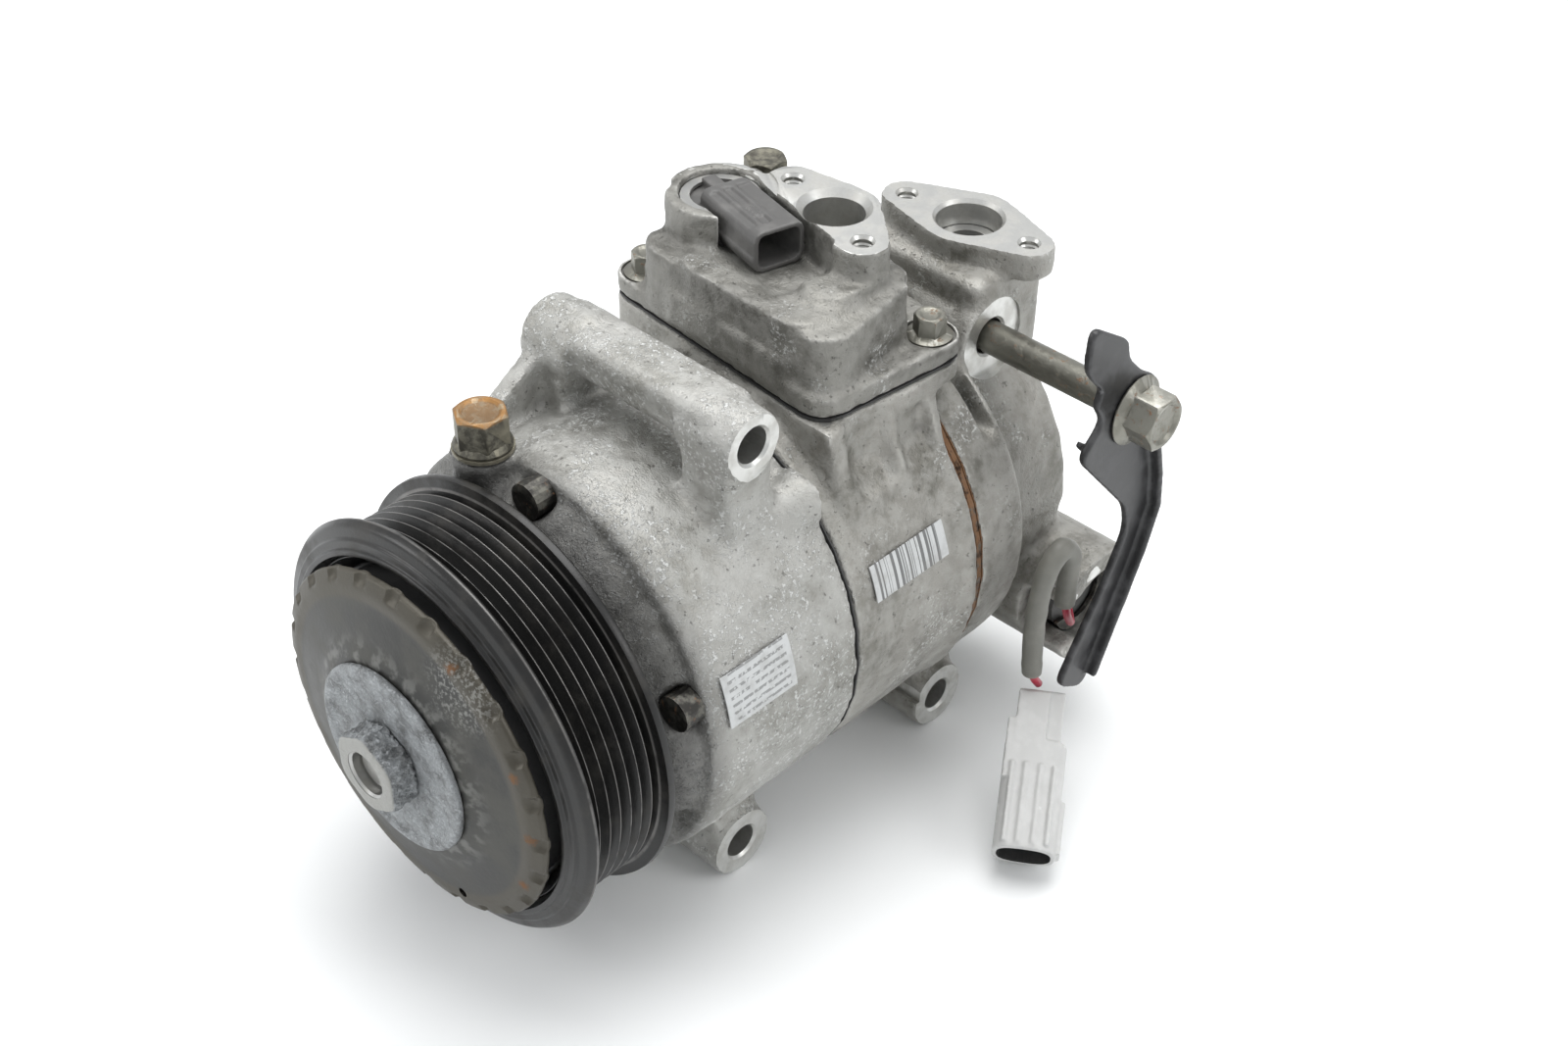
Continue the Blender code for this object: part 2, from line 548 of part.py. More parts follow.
def pulley(rotor):
    outline = [(52.4, -4.6), (56.4, -4.0), (57.0, -2.9), (60.2, -1.9), (LIP_R, 0.0), (60.9, 0.9)]
    for rib in range(RIB_COUNT):
        root = FIRST_ROOT + rib * RIB_PITCH
        outline.append((ROOT_R, root))
        if rib < RIB_COUNT - 1:
            outline.append((CREST_R, root + RIB_PITCH / 2))
    outline += [(60.8, 25.9), (60.8, 27.0), (59.8, 27.6), (48.5, 27.6), (48.5, 10.0), (34.0, 10.0),
                (34.0, 22.5), (PULLEY_BORE_R, 22.5), (PULLEY_BORE_R, 7.6), (27.0, 7.6), (27.0, 3.4),
                (47.6, 3.4), (51.6, -2.0)]
    return node(shape_turned("pulley", outline, 32), "black", rotor)


def front_drive(rotor):
    node(shape_turned("front_plate", [
        (10.4, -14.2), (28.5, -14.2), (33.0, -12.6), (44.5, -10.4), (50.6, -8.8), (50.6, -6.8), (44.0, -8.4),
        (32.6, -10.6), (28.0, -12.2), (10.4, -12.2)]), "slate", rotor)
    node(shape_turned("limiter_washer", [
        (10.4, -16.0), (23.5, -16.0), (25.0, -16.8), (27.6, -16.4), (27.6, -14.5), (10.4, -14.5)], 32),
        "steel", rotor)
    hub = shape_turned("hub", [(6.3, -17.0), (10.1, -17.0), (10.1, -11.9), (19.0, -11.9), (19.0, -8.0),
                               (10.1, -8.0), (10.1, 1.6), (6.3, 1.6)], 32)
    nose = shape_rod("hub_nose", "Y", (0, -24.2, 0), 7.8, 12.6, sides=6)
    nose_hole = shape_rod("hub_nose_hole", "Y", (0, -26.0, 0), 12.0, 6.3, sides=32)
    join(hub, nose)
    cut(hub, nose_hole)
    node(hub, "steel", rotor)
    node(shape_turned("damper_ring", [(31.0, -7.4), (42.0, -7.4), (46.5, -6.6), (46.5, 3.1), (31.0, 3.1)]),
         "rubber", rotor)
    node(shape_turned("drive_flange", [(10.4, 1.9), (26.6, 1.9), (26.6, -5.0), (30.6, -5.0), (30.6, 3.1),
                                       (26.6, 3.1), (20.0, 3.1), (10.4, 3.1)], 32), "steel", rotor)
    shaft = shape_turned("shaft", [(0, -21.0), (5.4, -21.0), (NOSE_R, -20.2), (NOSE_R, 2.0), (8.0, 2.0),
                                   (8.0, 30.0), (SHAFT_R, 30.0), (SHAFT_R, 119.0), (TAIL_R, 119.0),
                                   (TAIL_R, 142.0), (0, 142.0)], 24)
    node(shaft, "steel", rotor)
    lug = shape_turned("lug_plate", [(9.3, 46.0), (38.0, 46.0), (40.0, 48.0), (40.0, 56.0), (9.3, 56.0)], 36)
    arms = [shape_box(f"lug_arm_{side}", (min(side * 5, side * 10), 54.0, 14.0),
                      (max(side * 5, side * 10), 64.0, 25.0)) for side in (-1, 1)]
    join(lug, *arms)
    node(lug, "steel", rotor)


def bearings():
    def race(name, inner, outer, low, high, finish_name="steel"):
        node(shape_turned(name, [(inner, low), (outer, low), (outer, high), (inner, high)], 32), finish_name)

    race("pulley_bearing", SNOUT_R + GAP, PULLEY_BORE_R - 0.3, 8.0, 22.0)
    race("bearing_ring", SNOUT_R + GAP, 23.0, 6.2, 7.6)
    race("shaft_seal", 8.3, 13.0, 12.0, 20.0, "rubber")
    race("front_shaft_bearing", SHAFT_R + GAP, 13.0, 34.0, 44.6)
    race("rear_shaft_bearing", TAIL_R + GAP, 10.5, 121.0, 141.0)


# ---------------------------------------------------------------- pumping parts

def swash_plate(pivot):
    plate = shape_turned("swash_plate", [
        (12.6, -7.0), (18.0, -7.0), (18.0, -PLATE_HALF), (PLATE_R, -PLATE_HALF), (PLATE_R, PLATE_HALF),
        (18.0, PLATE_HALF), (18.0, 7.0), (12.6, 7.0)], 40, (0, SWASH_Y, 0))
    nub = shape_box("guide_nub", (-3.5, SWASH_Y - 13.5, 15.0), (3.5, SWASH_Y - 5.0, 21.0))
    join(plate, nub)
    node(plate, "steel", pivot)


def piston_mesh():
    """One piston on the +X side of the shaft: a head, and a yoke round the plate's rim."""
    body = shape_rod("piston_pattern", "Y", (PISTON_PITCH_R, PISTON_FRONT, 0), PISTON_TOP - PISTON_FRONT,
                     PISTON_R, sides=24)
    neck_end = 101.0
    slot = shape_box("piston_slot", (0, SWASH_Y - SLOT_HALF, -20), (BRIDGE_R, SWASH_Y + SLOT_HALF, 20))
    inner = shape_box("piston_inner", (0, PISTON_FRONT - 5, -20), (YOKE_INNER_R, neck_end, 20))
    sides = [shape_box(f"piston_side_{side}", (0, PISTON_FRONT - 5, min(side * YOKE_HALF, side * 20)),
                       (60, neck_end, max(side * YOKE_HALF, side * 20))) for side in (-1, 1)]
    cut(body, slot, inner, *sides)
    bpy.context.view_layer.update()
    graph = bpy.context.evaluated_depsgraph_get()
    mesh = bpy.data.meshes.new_from_object(body.evaluated_get(graph))
    mesh.name = "piston"
    for tool in (body, slot, inner, *sides):
        bpy.data.objects.remove(tool, do_unlink=True)
    return mesh


def pistons():
    pattern = piston_mesh()
    for i, angle in enumerate(piston_angles()):
        station = bpy.data.objects.new(f"piston_station_{i + 1}", None)
        put(station, PARTS, ROOT, (0, 0, 0), (0, -math.radians(angle), 0))
        piston = bpy.data.objects.new(f"piston_{i + 1}", pattern)
        put(piston, FORMERS, station, (PISTON_PITCH_R, PISTON_FRONT, 0), AIM["Y"])
        FORMERS.objects.unlink(piston)
        PARTS.objects.link(piston)
    finish(piston, "steel")


def return_spring():
    turns, wire_r, mean_r, low, high = 4, 1.0, 12.4, 96.5, 115.5
    per_turn = 12
    path = [(mean_r * math.cos(2 * math.pi * i / per_turn), low + (high - low) * i / (turns * per_turn),
             mean_r * math.sin(2 * math.pi * i / per_turn)) for i in range(turns * per_turn + 1)]
    node(shape_tube("return_spring", path, wire_r, 0), "steel")


def suction_valve(slider):
    """The check valve in the suction port: a cup that lifts off its seat ring."""
    x, y = SUCTION_PORT
    low, high = SEAT_Z - GAP - 5.5, SEAT_Z - GAP
    cup = shape_turned("suction_check_valve", [
        (0, high - 2.5), (5.0, high - 2.5), (5.0, low), (8.2, low), (8.2, high), (0, high)],
        24, (x, y, 0), "Z")
    node(cup, "plastic", slider)
    ring = shape_turned("suction_seat_ring", [(6.2, SEAT_Z), (9.3, SEAT_Z), (9.3, SEAT_Z + 2.0),
                                              (6.2, SEAT_Z + 2.0)], 24, (x, y, 0), "Z")
    node(ring, "steel")


# ---------------------------------------------------------------- plugs, lead, bracket, labels

def sensor_way():
    """Where the sensor's plug tube starts, and how it lies."""
    return (SENSOR[0], SENSOR[1] + 1.5, SENSOR_Z), (0, math.pi / 2, math.radians(SENSOR_TURN))


def sensor_window(name):
    """The clear way for the plug tube, open to the top."""
    start, turn = sensor_way()
    window = shape_plate(name, [(-20.0, -8.9), (6.9, -8.9), (6.9, 8.9), (-20.0, 8.9)], 41.0, start, turn)
    window.location -= Vector((math.cos(turn[2]), math.sin(turn[2]), 0)) * MM
    return window


def flow_sensor():
    sensor = shape_rod("flow_sensor", "Z", (*SENSOR, 82.4), 13.0, 10.6, sides=24)
    start, turn = sensor_way()
    length, depth = 28.5, 14.0
    corners = [(sx, sy) for sx in (-1, 1) for sy in (-1, 1)]
    tube = shape_plate("sensor_tube", hull_outline([(sx * 3.6, sy * 5.3, 2.6) for sx, sy in corners], 8),
                       length, start, turn)
    core = shape_plate("sensor_mouth", hull_outline([(sx * 2.9, sy * 4.6, 1.9) for sx, sy in corners], 8),
                       depth + 6.0, start, turn)
    core.location += Vector((math.cos(turn[2]), math.sin(turn[2]), 0)) * (length - depth) * MM
    join(sensor, tube)
    cut(sensor, core)
    node(sensor, "plastic")
    ring = shape_turned("sensor_circlip", [(8.6, 95.9), (11.3, 95.9), (11.3, 96.9), (8.6, 96.9)], 24,
                        (*SENSOR, 0), "Z")
    cut(ring, sensor_window("circlip_window"))
    node(ring, "steel")


def control_valve():
    y, z = VALVE
    valve = shape_rod("control_valve", "X", (25.0, y, z), VALVE_FACE_X - 39.0, 7.6, sides=18)
    cap = shape_rod("control_valve_cap", "X", (VALVE_FACE_X - 15.6, y, z), 7.0, 11.6, sides=24)
    join(valve, cap)
    node(valve, "plastic")
    low, high = VALVE_FACE_X - 7.8, VALVE_FACE_X - 6.6
    ring = shape_turned("valve_circlip", [(8.5, low), (12.1, low), (12.1, high), (8.5, high)],
                        24, (0, y, z), "X")
    window = shape_box("valve_circlip_window", (low - 4, y - 14, z - 5), (high + 4, y - 2, z + 5))
    cut(ring, window)
    node(ring, "steel")


# The control valve's lead: wires out of the valve, a sleeve in an arch, wires into the plug
WIRE_ROUTE = ((65.9, 188.6, -31.4), (67.0, 186.5, -32.0), (72.5, 180.5, -31.0), (74.3, 175.5, -24.5),
              (74.5, 173.2, -17.6))
SLEEVE_ROUTE = ((74.5, 172.8, -17.2), (75.8, 171.0, -6.0), (77.6, 168.0, 5.5), (78.0, 162.5, 10.5),
                (77.4, 157.5, 5.0), (76.4, 156.2, -8.0), (76.0, 156.6, -22.0), (76.2, 157.4, -34.0))
TAIL_ROUTE = ((76.2, 157.5, -34.4), (76.2, 159.2, -38.0), (76.4, 161.4, -41.3))
PLUG_END, PLUG_AIM = (77.8, 162.0, -46.5), (0.505, -0.757, -0.413)


def lead():
    node(shape_tube("lead_sleeve", smooth_path(SLEEVE_ROUTE, 3), 3.2, 2), "sleeve")
    node(shape_tube("valve_wire", smooth_path(WIRE_ROUTE, 2), 1.3, 1), "red")
    node(shape_tube("connector_wire", smooth_path(TAIL_ROUTE, 2), 1.3, 1), "red")


def lead_connector():
    """The pale plug housing; it points outwards, forwards and down."""
    aim = Vector(PLUG_AIM).normalized()
    level = aim.cross(Vector((0, 0, 1))).normalized()
    turn = Matrix((level, aim.cross(level), aim)).transposed().to_euler()
    hood = shape_plate("lead_connector", hull_outline([(sx * 5.6, sy * 3.6, 4.0) for sx in (-1, 1)
                                                       for sy in (-1, 1)], 12), 36.0, PLUG_END, turn)
    hood.location += aim * 14.0 * MM
    neck = shape_plate("connector_neck", hull_outline([(sx * 4.6, sy * 3.6, 2.6) for sx in (-1, 1)
                                                       for sy in (-1, 1)], 8), 16.0, PLUG_END, turn)
    mouth = shape_plate("connector_mouth", hull_outline([(sx * 5.0, sy * 3.0, 3.2) for sx in (-1, 1)
                                                         for sy in (-1, 1)], 12), 30.0, PLUG_END, turn)
    mouth.location += aim * 32.0 * MM
    join(hood, neck)
    cut(hood, mouth)
    return node(hood, "pale_plastic")


def bracket():
    outline = [(156.0, 91.0), (173.0, 79.5), (174.5, 73.0), (181.5, 65.5), (190.0, 60.0), (190.5, 46.0),
               (196.0, 25.0), (198.0, 13.5), (192.5, -2.0), (173.0, -45.0), (160.0, -37.0), (177.0, -9.5),
               (185.5, 8.0), (183.0, 18.0), (157.0, 47.5), (166.0, 56.0), (161.5, 63.0), (163.5, 67.5),
               (155.0, 77.0)]
    plate = shape_plate("connector_bracket", outline, BRACKET_T, (BRACKET_X, 0, 0),
                        (math.pi / 2, 0, math.pi / 2))
    hole = shape_rod("bracket_hole", "X", (BRACKET_X - 5, *REAR_EAR), 12.0, 5.2, sides=20)
    cut(plate, hole)
    return node(plate, "black")


def label(name, y_low, y_high, low_degrees, high_degrees):
    """A thin curved sticker wrapped on the round shell."""
    inner, outer = SHELL_R + GAP, SHELL_R + GAP + 0.3
    steps = 8
    turns = [math.radians(low_degrees + (high_degrees - low_degrees) * i / steps) for i in range(steps + 1)]
    outline = [(inner * math.cos(t), inner * math.sin(t)) for t in turns]
    outline += [(outer * math.cos(t), outer * math.sin(t)) for t in reversed(turns)]
    sticker = shape_plate(name, outline, y_high - y_low, (0, y_high, 0), (math.pi / 2, 0, 0))
    return node(sticker, "paper")


# ---------------------------------------------------------------- assembly

clear_scene()
PARTS = collection("ac_compressor")
FORMERS = collection("cutters")
ROOT = bpy.data.objects.new("compressor", None)
PARTS.objects.link(ROOT)
ROOT.location = Vector((-MIDDLE_X, -MIDDLE_Y, -FLOOR_Z)) * MM
ROTOR = put(bpy.data.objects.new("shaft_axis", None), PARTS, ROOT)
SWASH = put(bpy.data.objects.new("swash_pivot", None), PARTS, ROOT, (0, SWASH_Y, 0))
CHECK = put(bpy.data.objects.new("check_valve_axis", None), PARTS, ROOT, (*SUCTION_PORT, 40.5))

front_housing()
gasket("front_gasket", SHELL_R - 0.3, CRANKCASE_R + 0.4, FRONT_SEAM, 0.4, "rubber")
cylinder_block()
gasket("rear_gasket_inner", SHELL_R - 0.3, 51.6, REAR_SEAM - 1.6, 0.4, "rust")
valve_plate()
gasket("rear_gasket_outer", SHELL_R - 0.3, 51.6, REAR_SEAM + 1.2, 0.4, "rust")
rear_housing()
block_gasket()
discharge_block()
block_bolts()
through_bolts()
fill_plug()
relief_valve()
mount_bolt()
pulley(ROTOR)
front_drive(ROTOR)
bearings()
swash_plate(SWASH)
pistons()
return_spring()
suction_valve(CHECK)
flow_sensor()
control_valve()
lead()
lead_connector()
bracket()
label("data_label", 46.0, 70.5, 9.0, 23.0)
label("code_label", 103.5, 133.0, 15.0, 25.0)
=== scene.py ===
# %% [markdown]
# # A used car air-conditioning compressor
#
# The frame is the engineering model: every solid, joint and size. This lesson
# puts the looks around it. Castings get their sand skin and soft corners,
# turned pieces get fine profiles, and each finish is a small node tree.
# Everything is measured in millimetres from one point, the shaft's axis at
# the front lip of the belt pulley, because most pieces are turned about it.
# These places are called the drawing below.

# %% Load the frame
import json
import math

import bmesh
import bpy
import numpy as np
from mathutils import Matrix, Vector, noise


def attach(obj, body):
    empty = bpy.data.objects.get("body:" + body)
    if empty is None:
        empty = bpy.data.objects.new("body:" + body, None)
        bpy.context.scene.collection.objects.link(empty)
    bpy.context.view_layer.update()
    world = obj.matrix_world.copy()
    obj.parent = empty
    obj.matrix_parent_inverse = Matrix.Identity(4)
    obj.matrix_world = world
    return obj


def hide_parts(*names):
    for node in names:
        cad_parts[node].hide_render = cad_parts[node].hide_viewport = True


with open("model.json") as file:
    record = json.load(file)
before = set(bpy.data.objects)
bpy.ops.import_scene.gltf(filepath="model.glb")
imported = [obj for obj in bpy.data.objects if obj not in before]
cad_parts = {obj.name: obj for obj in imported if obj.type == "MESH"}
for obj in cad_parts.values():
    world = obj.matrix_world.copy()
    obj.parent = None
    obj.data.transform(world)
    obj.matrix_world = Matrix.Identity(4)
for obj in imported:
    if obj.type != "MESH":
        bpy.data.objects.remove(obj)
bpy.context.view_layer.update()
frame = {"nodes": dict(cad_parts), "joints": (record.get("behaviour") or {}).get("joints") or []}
MM = 0.001
SHAFT = Vector(next(j for j in frame["joints"] if j["name"] == "drive_spin")["pos_m"])
print("pieces in the frame:", len(frame["nodes"]), "shaft point:", [round(v, 4) for v in SHAFT])

PLUG = (-20.5, 38.0)  # filling plug, seen from above


def place(x, y, z):
    """A point of the drawing, in millimetres, as a point of the scene."""
    return SHAFT + Vector((x, y, z)) * MM


# %% [markdown]
# ## Camera
#
# The compressor is seen from the front left and from well above, with the
# pulley near and the rear head far. A 48 mm lens at about half a metre gives
# the strong narrowing towards the rear. The camera's own axes are written as
# two directions, and the third follows from them.

# %% Camera
def make_camera():
    back = Vector((0.5336, -0.5720, 0.6229)).normalized()
    right = Vector((-0.4380, 0.4431, 0.7822)).cross(back).normalized()
    turn = Matrix((right, back.cross(right), back)).transposed().to_4x4()
    lens = bpy.data.cameras.new("camera")
    lens.lens, lens.sensor_width, lens.clip_start = 48.375, 36.0, 0.01
    camera = bpy.data.objects.new("camera", lens)
    camera.matrix_world = Matrix.Translation(place(336.0, -229.4, 386.7)) @ turn
    bpy.context.scene.collection.objects.link(camera)
    bpy.context.scene.camera = camera
    return camera


print("camera stands at", [round(v, 3) for v in make_camera().location])


# %% [markdown]
# ## Stage and light
#
# The setting is a plain pale sweep. One very large soft panel overhead makes
# the even top light, a smaller one on the left draws the long highlights on
# the pulley, and a weak one behind on the right lifts the rear head.

# %% Floor and lights
def make_floor():
    cage = bmesh.new()
    bmesh.ops.create_grid(cage, x_segments=8, y_segments=8, size=20.0)
    mesh = bpy.data.meshes.new("floor")
    cage.to_mesh(mesh)
    cage.free()
    floor = bpy.data.objects.new("floor", mesh)
    bpy.context.scene.collection.objects.link(floor)
    paint = bpy.data.materials.new("studio_floor")
    paint.use_nodes = True
    shader = paint.node_tree.nodes["Principled BSDF"]
    shader.inputs["Base Color"].default_value = (0.90, 0.91, 0.91, 1.0)
    shader.inputs["Roughness"].default_value = 0.55
    mesh.materials.append(paint)


def panel(name, where, aim, size, watts, colour=(1.0, 1.0, 1.0)):
    lamp = bpy.data.lights.new(name, "AREA")
    lamp.size, lamp.energy, lamp.color = size, watts, colour
    light = bpy.data.objects.new(name, lamp)
    light.location = where
    light.rotation_euler = (Vector(aim) - Vector(where)).to_track_quat("-Z", "Y").to_euler()
    bpy.context.scene.collection.objects.link(light)


def make_world(strength):
    world = bpy.data.worlds.new("studio")
    world.use_nodes = True
    world.node_tree.nodes["Background"].inputs["Color"].default_value = (0.97, 0.985, 1.0, 1.0)
    world.node_tree.nodes["Background"].inputs["Strength"].default_value = strength
    bpy.context.scene.world = world


bpy.context.scene.view_settings.view_transform = "Standard"
make_floor()
make_world(0.74)
panel("top_panel", (-0.15, 0.25, 1.25), (0.0, 0.0, 0.05), 1.1, 15.0)
panel("left_panel", (-0.75, -0.75, 0.60), (0.0, -0.05, 0.06), 0.5, 3.4)
panel("right_panel", (0.95, 0.35, 0.75), (0.02, 0.0, 0.06), 0.5, 3.0)
print("stage and three panels are up")

# %% [markdown]
# ## Shader sums as plain Python
#
# A node tree is easier to read as a formula. `Signal` wraps a socket, so
# `1 - mask * 0.5` adds the Math nodes by itself, and `Paint.node` is the only
# place where a node is made.


# %% Signal and Paint
class Signal:
    """A number or colour that varies over a surface."""

    def __init__(self, paint, socket):
        self.paint, self.socket = paint, socket

    def sum(self, operation, first, second):
        return self.paint.node("ShaderNodeMath", {"operation": operation}, {0: first, 1: second})

    def __add__(self, other):
        return self.sum("ADD", self, other)

    def __sub__(self, other):
        return self.sum("SUBTRACT", self, other)

    def __rsub__(self, other):
        return self.sum("SUBTRACT", other, self)

    def __mul__(self, other):
        return self.sum("MULTIPLY", self, other)

    def __truediv__(self, other):
        return self.sum("DIVIDE", self, other)

    __radd__, __rmul__ = __add__, __mul__

    def apply(self, operation):
        """A Math operation on this value alone."""
        return self.paint.node("ShaderNodeMath", {"operation": operation}, {0: self})

    def between(self, low, high):
        """0 at low, 1 at high, with a soft start and end; low may be the larger."""
        settings = {"interpolation_type": "SMOOTHSTEP"}
        if low > high:
            return 1 - self.between(high, low)
        inputs = {"Value": self, "From Min": low, "From Max": high}
        return self.paint.node("ShaderNodeMapRange", settings, inputs)

    def mix(self, first, second):
        """Colour first where this is 0, second where it is 1."""
        settings = {"data_type": "RGBA", "clamp_factor": True}
        return self.paint.node("ShaderNodeMix", settings, {0: self, 6: first, 7: second}, 2)


class Paint:
    """A material, and one method that makes each of its nodes."""

    def __init__(self, name):
        self.material = bpy.data.materials.new(name)
        self.material.use_nodes = True
        self.tree = self.material.node_tree
        self.shader = self.tree.nodes["Principled BSDF"]
        metres = self.node("ShaderNodeTexCoord", output="Object")
        self.spot = self.node("ShaderNodeVectorMath", {"operation": "MULTIPLY_ADD"},
                              {0: metres, 1: (1 / MM,) * 3, 2: tuple(-SHAFT / MM)})

    def node(self, kind, settings=None, inputs=None, output=0):
        made = self.tree.nodes.new(kind)
        for key, value in (settings or {}).items():
            setattr(made, key, value)
        for key, value in (inputs or {}).items():
            self.feed(made.inputs[key], value)
        return Signal(self, made.outputs[output])

    def feed(self, socket, value):
        if isinstance(value, Signal):
            self.tree.links.new(value.socket, socket)
        else:
            socket.default_value = value

    def noise(self, size, detail=3.0, roughness=0.55):
        """Cloudy noise whose lumps are about size millimetres wide."""
        return self.node("ShaderNodeTexNoise", {}, {"Vector": self.spot, "Scale": 1 / size, "Detail": detail,
                                                    "Roughness": roughness})

    def axis(self, name):
        return self.node("ShaderNodeSeparateXYZ", {}, {0: self.spot}, name)

    def radius(self):
        """Distance from the shaft's axis."""
        x, z = self.axis("X"), self.axis("Z")
        return (x * x + z * z).apply("SQRT")

    def near(self, x, y, z):
        """Distance from one point of the drawing."""
        inputs = {0: self.spot, 1: (x, y, z)}
        return self.node("ShaderNodeVectorMath", {"operation": "DISTANCE"}, inputs, "Value")

    def edges(self, low=0.51, high=0.56):
        """1 on outward corners, where paint and dirt wear off."""
        return self.node("ShaderNodeNewGeometry", output="Pointiness").between(low, high)

    def hollow_dirt_and_shade(self, low=0.49, high=0.44):
        """1 in inward corners, where dirt stays and where shade is painted."""
        return self.node("ShaderNodeNewGeometry", output="Pointiness").between(low, high)

    def bump(self, height, depth):
        """Relief of depth millimetres."""
        return self.node("ShaderNodeBump", {}, {"Height": height, "Distance": depth * MM})

    def done(self, colour, roughness, metallic, normal=None):
        self.feed(self.shader.inputs["Base Color"], colour)
        self.feed(self.shader.inputs["Roughness"], roughness)
        self.feed(self.shader.inputs["Metallic"], metallic)
        if normal is not None:
            self.feed(self.shader.inputs["Normal"], normal)
        return self.material


def rgb(red, green, blue):
    return (red, green, blue, 1.0)


# %% [markdown]
# ## Cast aluminium
#
# Sand-cast aluminium is grey and grainy. Years under a bonnet leave three
# layers on it: broad grey and brown stains, a white bloom of salt in patches
# of tiny crystals, and clean metal where hands and tools rubbed the corners.
# Each layer is a noise of its own size, laid over the last one with a mask.

# %% Cast finishes
def cast_metal(name, base, dark, pale, bloom_from, wear):
    paint = Paint(name)
    stain = paint.noise(26.0, 4.0, 0.6).between(0.32, 0.64)
    mottle = paint.noise(5.0, 5.0, 0.65).between(0.36, 0.64)
    sand = paint.noise(0.55, 2.0)
    patch = paint.noise(17.0, 3.0).between(bloom_from, bloom_from + 0.16)
    crystals = paint.noise(1.15, 3.0, 0.7).between(0.52, 0.62) * patch
    pits = paint.noise(1.9, 3.0, 0.7).between(0.37, 0.30)
    colour = stain.mix(dark, base)
    colour = (mottle * 0.5).mix(colour, pale)
    colour = (crystals * 0.6).mix(colour, rgb(0.80, 0.81, 0.80))
    colour = (pits * 0.5).mix(colour, rgb(0.045, 0.042, 0.036))
    colour = (paint.edges(0.52, 0.60) * wear).mix(colour, rgb(0.78, 0.77, 0.74))
    # Inward corners darkened: partly dirt, partly painted shade in the hollows.
    colour = (paint.hollow_dirt_and_shade(0.485, 0.42) * 0.75).mix(colour, rgb(0.05, 0.045, 0.04))
    # Painted shadow with dust: a near-black band just behind the pulley's rear flange, partly the pulley's
    # contact shadow and partly black dust.
    pulley_shadow_and_dust = paint.axis("Y").between(50.0, 34.0) * (0.55 + paint.noise(4.0, 4.0) * 0.6)
    colour = (pulley_shadow_and_dust * 0.9).mix(colour, rgb(0.035, 0.034, 0.033))
    height = sand * 0.55 + mottle * 0.5 + crystals * 0.8 - pits * 0.6
    return paint.done(colour, 0.42 + mottle * 0.18 + crystals * 0.2, 0.55, paint.bump(height, 0.28))


CAST = cast_metal("sand_cast_front", rgb(0.36, 0.355, 0.335), rgb(0.25, 0.245, 0.222), rgb(0.50, 0.50, 0.48),
                  0.40, 0.55)
REAR_CAST = cast_metal("sand_cast_rear", rgb(0.31, 0.30, 0.275), rgb(0.14, 0.135, 0.115),
                       rgb(0.44, 0.435, 0.41), 0.52, 0.7)
DARK_CAST = cast_metal("die_cast_weathered", rgb(0.235, 0.23, 0.21), rgb(0.10, 0.097, 0.085),
                       rgb(0.33, 0.325, 0.305), 0.56, 0.85)
print("cast finishes:", CAST.name, REAR_CAST.name, DARK_CAST.name)


# %% [markdown]
# ## Machined, plated and rusty metal
#
# A milled face is bright with fine marks. Zinc goes dull and olive. Bare
# steel on the hub grows a rough grey-white crust, so its relief matters more
# than its colour.

# %% Metal finishes
def machined(name, colour, roughness):
    paint = Paint(name)
    marks = paint.noise(0.25, 2.0)
    stain = paint.noise(6.0, 4.0, 0.6).between(0.38, 0.66)
    tone = (stain * 0.55).mix(colour, rgb(0.40, 0.39, 0.36))
    return paint.done(tone, roughness + stain * 0.16, 0.9, paint.bump(marks, 0.03))


def plated(name, colour, rust, wear=0.35):
    paint = Paint(name)
    blotch = paint.noise(3.2, 5.0, 0.65).between(0.42, 0.66)
    brown = paint.noise(2.4, 5.0, 0.7).between(0.60 - rust * 0.2, 0.72 - rust * 0.2)
    tone = (blotch * 0.6).mix(colour, rgb(0.22, 0.215, 0.185))
    tone = (brown * 0.8).mix(tone, rgb(0.20, 0.10, 0.045))
    tone = (paint.edges(0.52, 0.58) * wear).mix(tone, rgb(0.60, 0.59, 0.54))
    roughness = 0.34 + blotch * 0.2 + brown * 0.2
    return paint.done(tone, roughness, 0.85 - brown * 0.5, paint.bump(blotch + brown, 0.05))


def crusted(name, clean, crust):
    paint = Paint(name)
    lumps = paint.noise(1.1, 5.0, 0.7).between(0.42, 0.62)
    bloom = paint.noise(5.5, 5.0, 0.6).between(0.36, 0.58)
    face = paint.axis("Y").between(-23.4, -24.0)
    tone = bloom.mix(clean, crust)
    tone = (lumps * 0.45).mix(tone, rgb(0.50, 0.52, 0.54))
    tone = (face * 0.75).mix(tone, rgb(0.36, 0.355, 0.33))
    height = lumps * (1 - face * 0.8) + bloom * 0.5
    return paint.done(tone, 0.5 + bloom * 0.15, 0.45, paint.bump(height, 0.35))


def stained_plug():
    """Dark flanks, and a top that has gone orange."""
    paint = Paint("stained_plug")
    blotch = paint.noise(2.6, 5.0, 0.65).between(0.40, 0.66)
    top = paint.axis("Z").between(71.2, 72.0) * paint.near(*PLUG, 72.0).between(9.0, 6.6)
    tone = blotch.mix(rgb(0.085, 0.08, 0.065), rgb(0.20, 0.19, 0.15))
    tone = (top * (0.95 - blotch * 0.35)).mix(tone, rgb(0.33, 0.17, 0.055))
    tone = (paint.edges(0.52, 0.58) * 0.4).mix(tone, rgb(0.40, 0.37, 0.28))
    return paint.done(tone, 0.40 + blotch * 0.2, 0.6, paint.bump(blotch, 0.06))


